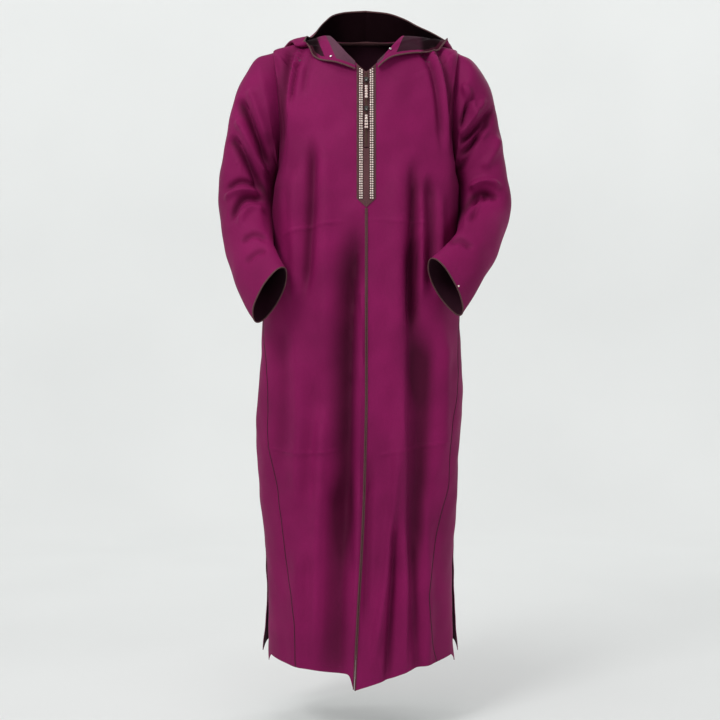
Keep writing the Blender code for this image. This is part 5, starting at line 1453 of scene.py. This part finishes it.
class ROBE_OT_hood(bpy.types.Operator):
    """Build the hood in two halves, laid over the shoulders and hanging behind; bind its rim."""
    bl_idname = "robe.hood"
    bl_label = "Hood"

    def execute(self, context):
        tree = robe_tree()
        width = context.scene.robe_sizes.binding
        for side in (-1, 1):
            word = SIDE_NAMES[side]
            points, normals = hood_grid(tree, side)
            half = cloth_piece(f"hood_half_{word}", f"hood_{word}", points, -normals, side,
                               index_of=inside_of_hood(side, points))
            flat = points.reshape(-1, 3)
            # painted shade on the inner faces of the hood, darker towards its sides and its back;
            # none on the outer face
            edge = HOOD_SHADE_EDGE[side]
            shade_amount = np.maximum(ramp(np.abs(flat[:, 0]), edge, edge + HOOD_SHADE_REACH),
                              ramp(flat[:, 1], -0.010, 0.050))
            store_painted_shade(half, np.concatenate((np.zeros(len(flat)), shade_amount)))
            inward = unit(points[:, -3] - points[:, -1])
            bound_edge(f"hood_rim_{word}", f"hood_binding_{word}", points[:, -1], inward,
                       -normals[:, -1], width, False)
        return {"FINISHED"}


TAPE_DROP = 0.0032     # from the neckline down to the middle of its tape
TAPE_SINK = 0.0004
TAPE_HALVES = (0.0019, 0.0056)


class ROBE_OT_neck_tape(bpy.types.Operator):
    """Sew a narrow tape inside the neckline, over the seam of the hood."""
    bl_idname = "robe.neck_tape"
    bl_label = "Neck tape"

    def execute(self, context):
        level_at = np.array([NECK_STATION - TAPE_DROP])
        centres = []
        arrows = []
        for part, side, turns in (("front", -1, np.linspace(0.20, 0.98, 50)),
                                  ("back", -1, np.linspace(1.0, 0.02, 60)),
                                  ("back", 1, np.linspace(0.0, 0.98, 60)),
                                  ("front", 1, np.linspace(1.0, 0.20, 50))):
            points, normals = skin(part, side, level_at, turns[None, :])
            centres.append(points[0])
            arrows.append(normals[0])
        centres = np.concatenate(centres)
        arrows = np.concatenate(arrows)
        along = unit(np.gradient(centres, axis=0))
        up = unit(np.cross(along, arrows))
        made = tube("neck_tape", centres - arrows * TAPE_SINK, -arrows, up, oval(*TAPE_HALVES, 12),
                    [finishes()["brown_braid"]])
        put(made)
        return {"FINISHED"}


PEARL_RADIUS = 0.0021
CUFF_BINDING = 0.8     # width of the cuff binding against that of the hood


class ROBE_OT_cuffs(bpy.types.Operator):
    """Bind the cuffs, and set the bead on the left one."""
    bl_idname = "robe.cuffs"
    bl_label = "Cuffs"

    def execute(self, context):
        width = context.scene.robe_sizes.binding * CUFF_BINDING
        for side in (-1, 1):
            word = SIDE_NAMES[side]
            points, normals = sleeve_grid(side)
            inward = unit(points[-3] - points[-1])
            bound_edge(f"cuff_edge_{word}", f"cuff_binding_{word}", points[-1], inward,
                       normals[-1], width, True)
        low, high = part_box("cuff_bead")
        centre = np.array((low + high) / 2.0)
        axes = np.eye(3) * PEARL_RADIUS
        made = many("cuff_pearl", *ball_shape(12, 8), [(centre, *axes)],
                    [finishes()["cream_bead"]])
        put(made, nodes=["cuff_bead"])
        return {"FINISHED"}


# ---- placket, beads, zip -------------------------------------------------------------------
def front_strip(stations, offsets, height):
    """Grid on the fronts: a row for each station and a column for each offset."""
    columns = [over_front(offset, stations, height) for offset in offsets]
    return tuple(np.stack(kind, axis=1) for kind in zip(*columns))


def spaced(offset, low, high, pitch):
    """Stations that lie a set distance apart on the cloth."""
    fine = np.linspace(low, high, 400)
    line, _ = over_front(offset, fine, 0.0)
    run = run_of(line)
    count = int(run[-1] / pitch)
    return np.interp((np.arange(count) + 0.5) * run[-1] / count, run, fine)


PLACKET_LIFT = LIFT_CLOTH + 0.0003
PLACKET_CLOTH = 0.0012


class ROBE_OT_placket(bpy.types.Operator):
    """Lay the pointed placket on the fronts and stitch its edges."""
    bl_idname = "robe.placket"
    bl_label = "Placket"

    def execute(self, context):
        store = finishes()
        rows = np.concatenate((np.linspace(PLACKET_POINT, PLACKET_SHOULDER, 12)[:-1],
                               np.linspace(PLACKET_SHOULDER, NECK_STATION, 160)))
        taper = np.clip((rows - PLACKET_POINT) / (PLACKET_SHOULDER - PLACKET_POINT), 0.02, 1.0)
        vertices = []
        faces = []
        for side in (-1, 1):
            inner = np.where(rows > ZIP_END, ZIP_HALF - 0.0004, 0.0)
            shares = np.linspace(0.0, 1.0, 9)
            grid = []
            arrows = []
            for share in shares:
                offset = inner + (PLACKET_HALF * taper - inner) * share
                offset = np.maximum(offset, inner * taper)
                place, arrow = over_front(side * np.maximum(offset, 1e-6), rows, PLACKET_LIFT)
                round_edge = 0.0005 * max(0.0, (share - 0.8) / 0.2) ** 2
                grid.append(place + arrow * (PLACKET_CLOTH - round_edge))
                arrows.append(arrow)
            top = np.stack(grid, axis=1)
            arrows = np.stack(arrows, axis=1)
            low = top - arrows * PLACKET_CLOTH
            start = len(vertices)
            count = top.shape[0] * top.shape[1]
            vertices += np.concatenate((top.reshape(-1, 3), low.reshape(-1, 3))).tolist()
            quads = grid_quads(*top.shape[:2])
            group = np.concatenate((quads, quads[:, ::-1] + count, rim_faces(*top.shape[:2])))
            if side < 0:
                group = group[:, ::-1]
            faces += (group + start).tolist()
        made = new_object("placket_band", vertices, faces, [store["brown_braid"]])
        put(made, nodes=["placket"])
        edge = PLACKET_HALF - 0.0022
        height = PLACKET_LIFT + PLACKET_CLOTH
        for side in (-1, 1):
            lines = []
            for offset in (edge, PLACKET_MID - 0.0058):
                lines.append(over_front(side * offset * taper[4:], rows[4:], height))
            stitch_rows(f"placket_stitching_{SIDE_NAMES[side]}", lines, "dark_thread", 0.0024,
                        0.00022)
        return {"FINISHED"}


STITCH_STEP = 1.35     # from one stitch to the next, in stitch lengths


def stitch_rows(name, lines, material, length, radius):
    """Rows of short stitches along some lines on the cloth."""
    shape = ball_shape(6, 4, 0.8)
    places = []
    for points, normals in lines:
        run = run_of(points)
        count = max(1, int(run[-1] / (length * STITCH_STEP)))
        at = (np.arange(count) + 0.5) * run[-1] / count
        for spot in at:
            arrow = unit(read_line(spot, run, normals))
            along = unit(read_line(spot + length / 2.0, run, points)
                         - read_line(spot - length / 2.0, run, points))
            places.append((read_line(spot, run, points), unit(np.cross(along, arrow)) * radius,
                           arrow * radius, along * length / 2.0))
    made = many(name, *shape, places, [finishes()[material]], sharp=None)
    return put(made)


def axes_on_cloth(base, ahead, arrow):
    """Directions along a line on the cloth, across it and out of the cloth."""
    along = unit(ahead - base)
    out = unit(arrow - along * np.dot(arrow, along))
    return along, unit(np.cross(along, out)), out


BAND_HALF = 0.0047     # half the width of the band under the beads
BEAD_HEIGHT = 0.0009   # from the placket to the middle of a bead


class ROBE_OT_beads(bpy.types.Operator):
    """Lay the bead strips on the placket: pairs of flat cream beads sewn on a narrow band."""
    bl_idname = "robe.beads"
    bl_label = "Bead strips"

    def execute(self, context):
        sizes = context.scene.robe_sizes
        store = finishes()
        height = PLACKET_LIFT + PLACKET_CLOTH
        rows = np.linspace(PLACKET_SHOULDER - 0.002, NECK_STATION - 0.003, 150)
        for side in (-1, 1):
            word = SIDE_NAMES[side]
            offsets = (side * (PLACKET_MID - BAND_HALF), side * PLACKET_MID,
                       side * (PLACKET_MID + BAND_HALF))
            points, normals = front_strip(rows, offsets, height)
            band = shell(f"bead_band_{word}", points, normals, side, 0.0007, -0.0001,
                         [store["dark_thread"], store["dark_thread"]])
            put(band, nodes=[f"bead_strip_{word}"])
            at = spaced(side * PLACKET_MID, rows[0], rows[-1], sizes.bead_pitch)
            count = len(at)
            shape = ball_shape(8, 6, 0.72)
            places = []
            for column in (-1, 1):
                offset = side * (PLACKET_MID + column * sizes.bead_size * 0.57)
                base, arrow = over_front(offset, at, height + BEAD_HEIGHT)
                ahead, _ = over_front(offset, at + 0.002, height + BEAD_HEIGHT)
                for k in range(count):
                    along, aside, out = axes_on_cloth(base[k], ahead[k], arrow[k])
                    swing = 0.10 * math.sin(k * 2.4 + column)
                    half = sizes.bead_size / 2.0 * (1.0 + 0.05 * math.sin(k * 1.7 + column * 2.0))
                    across = aside * math.cos(swing) + along * math.sin(swing)
                    up = along * math.cos(swing) - aside * math.sin(swing)
                    places.append((base[k], across * half, up * half * 1.05, out * 0.0012))
            made = many(f"beads_{word}", *shape, places, [store["cream_bead"]], sharp=None)
            put(made)
        return {"FINISHED"}


TOOTH_HEIGHT = 0.0014  # from the cloth to the middle of a zip tooth


class ROBE_OT_zip(bpy.types.Operator):
    """Build the zip: tape, teeth, the sliders' finish and the beaded pulls."""
    bl_idname = "robe.zip"
    bl_label = "Zip"

    def execute(self, context):
        sizes = context.scene.robe_sizes
        store = finishes()
        rows = np.linspace(ZIP_END + 0.003, NECK_STATION, 120)
        half = ZIP_HALF - 0.0003
        offsets = np.linspace(-half, half, 9)
        points, normals = front_strip(rows, offsets, 0.0)
        tape = shell("zip_cloth", points, normals, 1, 0.0006, 0.0006,
                     [store["brown_braid"], store["brown_braid"]])
        put(tape, nodes=["zip_tape"])
        pitch = sizes.tooth_pitch
        at = spaced(CHAIN_HALF, ZIP_END + 0.006, NECK_STATION - 0.006, pitch)
        tooth, tooth_faces = ball_shape(8, 4, 0.5)
        places = []
        for side in (-1, 1):
            shift = 0.0 if side < 0 else (at[1] - at[0]) / 2.0
            offset = side * CHAIN_HALF * 0.42
            base, arrow = over_front(offset, at + shift, TOOTH_HEIGHT)
            ahead, _ = over_front(offset, at + shift + 0.001, TOOTH_HEIGHT)
            for k in range(len(at)):
                along, aside, out = axes_on_cloth(base[k], ahead[k], arrow[k])
                places.append((base[k], aside * CHAIN_HALF * 0.56, along * pitch * 0.30,
                               out * 0.0008))
        teeth = many("zip_teeth", tooth, tooth_faces, places, [store["dark_brass"]])
        put(teeth, nodes=["zip_chain"])
        for node in ("zip_slider_upper", "zip_slider_lower", "hood_snap_right", "hood_snap_left"):
            item = frame["nodes"][node]
            item.data.materials.clear()
            finish = "slider_metal" if "slider" in node else "bright_metal"
            item.data.materials.append(store[finish])
        for word in ("upper", "lower"):
            build_pull(word, store)
        return {"FINISHED"}


PULL_DROP = 0.0085     # wire between the eye and the first bead
PULL_STRETCH = 1.10    # spacing of the beads against the table
EYE_SIDES = 24
EYE_RADIUS = 0.0015
WIRE_RADIUS = 0.0005


def build_pull(word, store):
    """Beads on a wire with an eye round the slider's bar."""
    node = f"pull_{word}"
    bar = np.array(JOINTS[f"pull_{word}_hinge"]["pos_m"])
    low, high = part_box(node)
    centre = np.array((low + high) / 2.0)
    end = np.array((0.0, 2.0 * centre[1] - bar[1], low[2] + 0.0028))
    hang = unit(bar - end)
    aside = np.array((1.0, 0.0, 0.0))
    ahead = unit(np.cross(hang, aside))
    shape = ball_shape(12, 8, 0.85)
    places = []
    for drop, radius, half, paired in PULL_BEADS[word]:
        base = bar - hang * (drop * PULL_STRETCH + PULL_DROP)
        if paired:
            for way in (-1, 1):
                spot = base + aside * way * radius * 0.56
                places.append((spot, aside * radius * 0.60, ahead * radius * 0.62,
                               hang * half * 0.96))
        else:
            places.append((base, aside * radius * 1.28, ahead * radius * 0.9,
                           hang * half * 1.06))
    beads = many(f"pull_beads_{word}", *shape, places, [store["cream_bead"]], sharp=None)
    put(beads, body=node, nodes=[node])
    angles = np.arange(EYE_SIDES) * 2.0 * math.pi / EYE_SIDES
    spoke = np.stack((np.zeros(EYE_SIDES), np.cos(angles), np.sin(angles)), -1)
    ring = tube(f"pull_eye_{word}", bar + spoke * EYE_RADIUS, np.tile(aside, (EYE_SIDES, 1)),
                spoke, oval(0.0006, 0.0004, 8), [store["bright_metal"]], closed=True)
    put(ring, body=node)
    drops = np.linspace(0.0018, PULL_BEADS[word][-1][0] * PULL_STRETCH + PULL_DROP + 0.0022, 8)
    wire = tube(f"pull_wire_{word}", bar - hang * drops[:, None], np.tile(aside, (8, 1)),
                np.tile(ahead, (8, 1)), oval(WIRE_RADIUS, WIRE_RADIUS, 8),
                [store["dark_thread"]])
    put(wire, body=node)


# ---- cords and stitching -------------------------------------------------------------------
def rope(name, points, normals, width, height, twist, material, node=None):
    """Twisted cord along a line on the cloth: two strands that turn round each other."""
    along = unit(np.gradient(points, axis=0))
    aside = unit(np.cross(along, normals))
    up = unit(np.cross(aside, along))
    run = run_of(points)
    sides = bpy.context.scene.robe_sizes.strands
    angles = np.arange(sides) * 2.0 * math.pi / sides
    swell = 1.0 + 0.16 * np.cos(2.0 * (angles[None, :] - run[:, None] / twist * math.pi))
    profile = np.stack((np.cos(angles) * swell * width / 2.0,
                        np.sin(angles) * swell * height / 2.0), -1)
    made = tube(name, points, aside, up, profile, [finishes()[material]], sharp=None)
    return put(made, nodes=[node] if node else ())


class ROBE_OT_cords(bpy.types.Operator):
    """Lay the braid of two cords down the centre front, and the fine cords of the gore seams."""
    bl_idname = "robe.cords"
    bl_label = "Braid and seam cords"

    def execute(self, context):
        width = context.scene.robe_sizes.cord
        stations = np.linspace(HEM_STATION, PLACKET_POINT - 0.002, 700)
        for side in (-1, 1):
            word = SIDE_NAMES[side]
            offset = side * (inner_offset(stations) + width * 0.52)
            points, normals = over_front(offset, stations, LIFT_CLOTH + 0.0011)
            rope(f"braid_cord_{word}", points, normals, width, 0.0022, 0.005 * side, "brown_cord",
                 f"front_cord_{word}")
            for part in ("front", "back"):
                levels = np.linspace(HEM_STATION, GORE_TOP - 0.004, 420)
                turns = seam_turns(part, side, levels)[:, None]
                line, arrows = skin(part, side, levels, turns)
                line = line[:, 0] + arrows[:, 0] * (LIFT_CLOTH - 0.0004)
                rope(f"{part}_seam_cord_{word}", line, arrows[:, 0], 0.0016, 0.0012, 0.003,
                     "dark_thread")
        return {"FINISHED"}


THREAD_RADIUS = 0.00028
HEM_DEPTH = 0.014      # from the hem up to its stitching
CUFF_ROW = -5          # row of the sleeve that the stitching of the cuff follows


class ROBE_OT_stitching(bpy.types.Operator):
    """Stitch the hem and the cuffs."""
    bl_idname = "robe.stitching"
    bl_label = "Stitching"

    def execute(self, context):
        length = context.scene.robe_sizes.stitch
        level_up = HEM_STATION + HEM_DEPTH
        lines = []
        for part in ("front", "back"):
            for side in (-1, 1):
                start = 0.03 if part == "front" else 0.0
                turns = np.linspace(start, 0.985, 130)[None, :]
                points, normals = skin(part, side, np.array([level_up]), turns)
                lines.append((points[0] + normals[0] * LIFT_CLOTH, normals[0]))
        stitch_rows("hem_stitching", lines, "plum_thread", length, THREAD_RADIUS)
        lines = []
        for side in (-1, 1):
            points, normals = sleeve_grid(side)
            closed, arrows = (np.concatenate((rows[CUFF_ROW], rows[CUFF_ROW][:1]))
                              for rows in (points, normals))
            lines.append((closed + arrows * LIFT_CLOTH, arrows))
        stitch_rows("cuff_stitching", lines, "plum_thread", length, THREAD_RADIUS)
        return {"FINISHED"}


# ---- stage ---------------------------------------------------------------------------------
FLOOR_Z = -1.545
CAMERA_PLACE = (-0.0138, -3.0, -0.727)
CAMERA_LENS = 65.2
# soft lights: place, height of the point each faces, width, height, power
LIGHTS = {
    "key_light": (-1.7, -2.5, 1.8, -0.5, 1.0, 1.1, 66.0),
    "fill_light": (2.3, -2.2, -0.3, -0.8, 1.2, 1.4, 7.0),
    "top_light": (-0.4, -1.0, 2.2, -0.3, 1.2, 0.9, 22.0),
    "back_light": (1.6, 2.4, 1.6, -0.4, 1.2, 1.0, 18.0),
    "wall_light": (0.0, 1.9, 2.4, -0.2, 6.0, 0.5, 66.0),
}


STAGE_REACH = 4.6      # from the middle to the wall
STAGE_BEND = 1.6       # radius of the turn from the floor to the wall
STAGE_TOP = 3.2
STAGE_GLOW = 0.24      # light that the pale stage gives back of its own, so shadows stay soft
STAGE_SIDES = 96
STAGE_TONES = ((0.52, 0.53, 0.525), (0.56, 0.57, 0.565))
WORLD_STRENGTH = 0.22


def backdrop():
    """Round floor that turns up into a wall all round, so that every view has it behind."""
    reach = STAGE_REACH - STAGE_BEND
    profile = [(0.6, FLOOR_Z), (reach * 0.5, FLOOR_Z), (reach, FLOOR_Z)]
    for k in range(1, 13):
        angle = math.pi / 2.0 * k / 12.0
        profile.append((reach + STAGE_BEND * math.sin(angle),
                        FLOOR_Z + STAGE_BEND * (1.0 - math.cos(angle))))
    profile.append((STAGE_REACH, STAGE_TOP))
    vertices = [(0.0, 0.0, FLOOR_Z)]
    for far, z in profile:
        for k in range(STAGE_SIDES):
            angle = 2.0 * math.pi * k / STAGE_SIDES
            vertices.append((far * math.cos(angle), far * math.sin(angle), z))
    faces = [(0, 1 + k, 1 + (k + 1) % STAGE_SIDES) for k in range(STAGE_SIDES)]
    faces += (grid_quads(len(profile), STAGE_SIDES, 1, True)[:, (0, 3, 2, 1)]).tolist()
    made, tree, body = shader("pale_stage", STAGE_TONES[0], 0.9)
    place = add(tree, "ShaderNodeTexCoord")
    cloud = noise(tree, place.outputs["Object"], 0.8, 2.0)
    tree.links.new(blend_colour(tree, cloud, *STAGE_TONES, 0.3, 0.7), body.inputs["Base Color"])
    body.inputs["Emission Color"].default_value = (0.985, 1.0, 0.995, 1.0)
    body.inputs["Emission Strength"].default_value = STAGE_GLOW
    return new_object("backdrop", vertices, faces, [made])


class ROBE_OT_stage(bpy.types.Operator):
    """Set the floor, the soft lights and the camera."""
    bl_idname = "robe.stage"
    bl_label = "Stage"

    def execute(self, context):
        scene = context.scene
        backdrop()
        for name, (x, y, z, at_z, width, height, power) in LIGHTS.items():
            lamp = bpy.data.lights.new(name, "AREA")
            lamp.shape = "RECTANGLE"
            lamp.size = width
            lamp.size_y = height
            lamp.energy = power
            holder = bpy.data.objects.new(name, lamp)
            holder.location = (x, y, z)
            aim = (0.0, STAGE_REACH, at_z) if name == "wall_light" else (0.0, 0.0, at_z)
            facing = Vector(aim) - Vector((x, y, z))
            holder.rotation_euler = facing.to_track_quat("-Z", "Y").to_euler()
            scene.collection.objects.link(holder)
        world = bpy.data.worlds.new("studio")
        world.use_nodes = True
        sky = world.node_tree.nodes["Background"]
        sky.inputs["Color"].default_value = (1.0, 1.0, 1.0, 1.0)
        sky.inputs["Strength"].default_value = WORLD_STRENGTH
        scene.world = world
        scene.view_settings.view_transform = "Standard"
        lens = bpy.data.cameras.new("camera")
        lens.lens = CAMERA_LENS
        lens.sensor_width = 36.0
        lens.clip_end = 30.0
        camera = bpy.data.objects.new("camera", lens)
        camera.location = CAMERA_PLACE
        camera.rotation_euler = (math.pi / 2.0, 0.0, 0.0)
        scene.collection.objects.link(camera)
        scene.camera = camera
        return {"FINISHED"}


OPERATORS = (ROBE_OT_fronts, ROBE_OT_back, ROBE_OT_gores, ROBE_OT_sleeves, ROBE_OT_hood,
             ROBE_OT_neck_tape, ROBE_OT_cuffs, ROBE_OT_placket, ROBE_OT_beads, ROBE_OT_zip,
             ROBE_OT_cords, ROBE_OT_stitching, ROBE_OT_stage)


class ROBE_PT_panel(bpy.types.Panel):
    """Sizes, colours and steps of the robe."""
    bl_idname = "ROBE_PT_panel"
    bl_label = "Djellaba robe"
    bl_space_type = "VIEW_3D"
    bl_region_type = "UI"
    bl_category = "Robe"

    def draw(self, context):
        layout = self.layout
        for group in (context.scene.robe_sizes, context.scene.robe_colours):
            for name in group.bl_rna.properties.keys():
                if name not in ("rna_type", "name"):
                    layout.prop(group, name)
        for step in OPERATORS:
            layout.operator(step.bl_idname)


CLASSES = (RobeSizes, RobeColours, *OPERATORS, ROBE_PT_panel)


def register():
    for item in CLASSES:
        bpy.utils.register_class(item)
    bpy.types.Scene.robe_sizes = PointerProperty(type=RobeSizes)
    bpy.types.Scene.robe_colours = PointerProperty(type=RobeColours)


def unregister():
    del bpy.types.Scene.robe_sizes
    del bpy.types.Scene.robe_colours
    for item in reversed(CLASSES):
        bpy.utils.unregister_class(item)


def main():
    register()
    for step in OPERATORS:
        group, name = step.bl_idname.split(".")
        result = getattr(getattr(bpy.ops, group), name)()
        if result != {"FINISHED"}:
            raise RuntimeError(f"{step.bl_label} did not finish")
    bpy.context.view_layer.update()


if __name__ == "__main__":
    main()
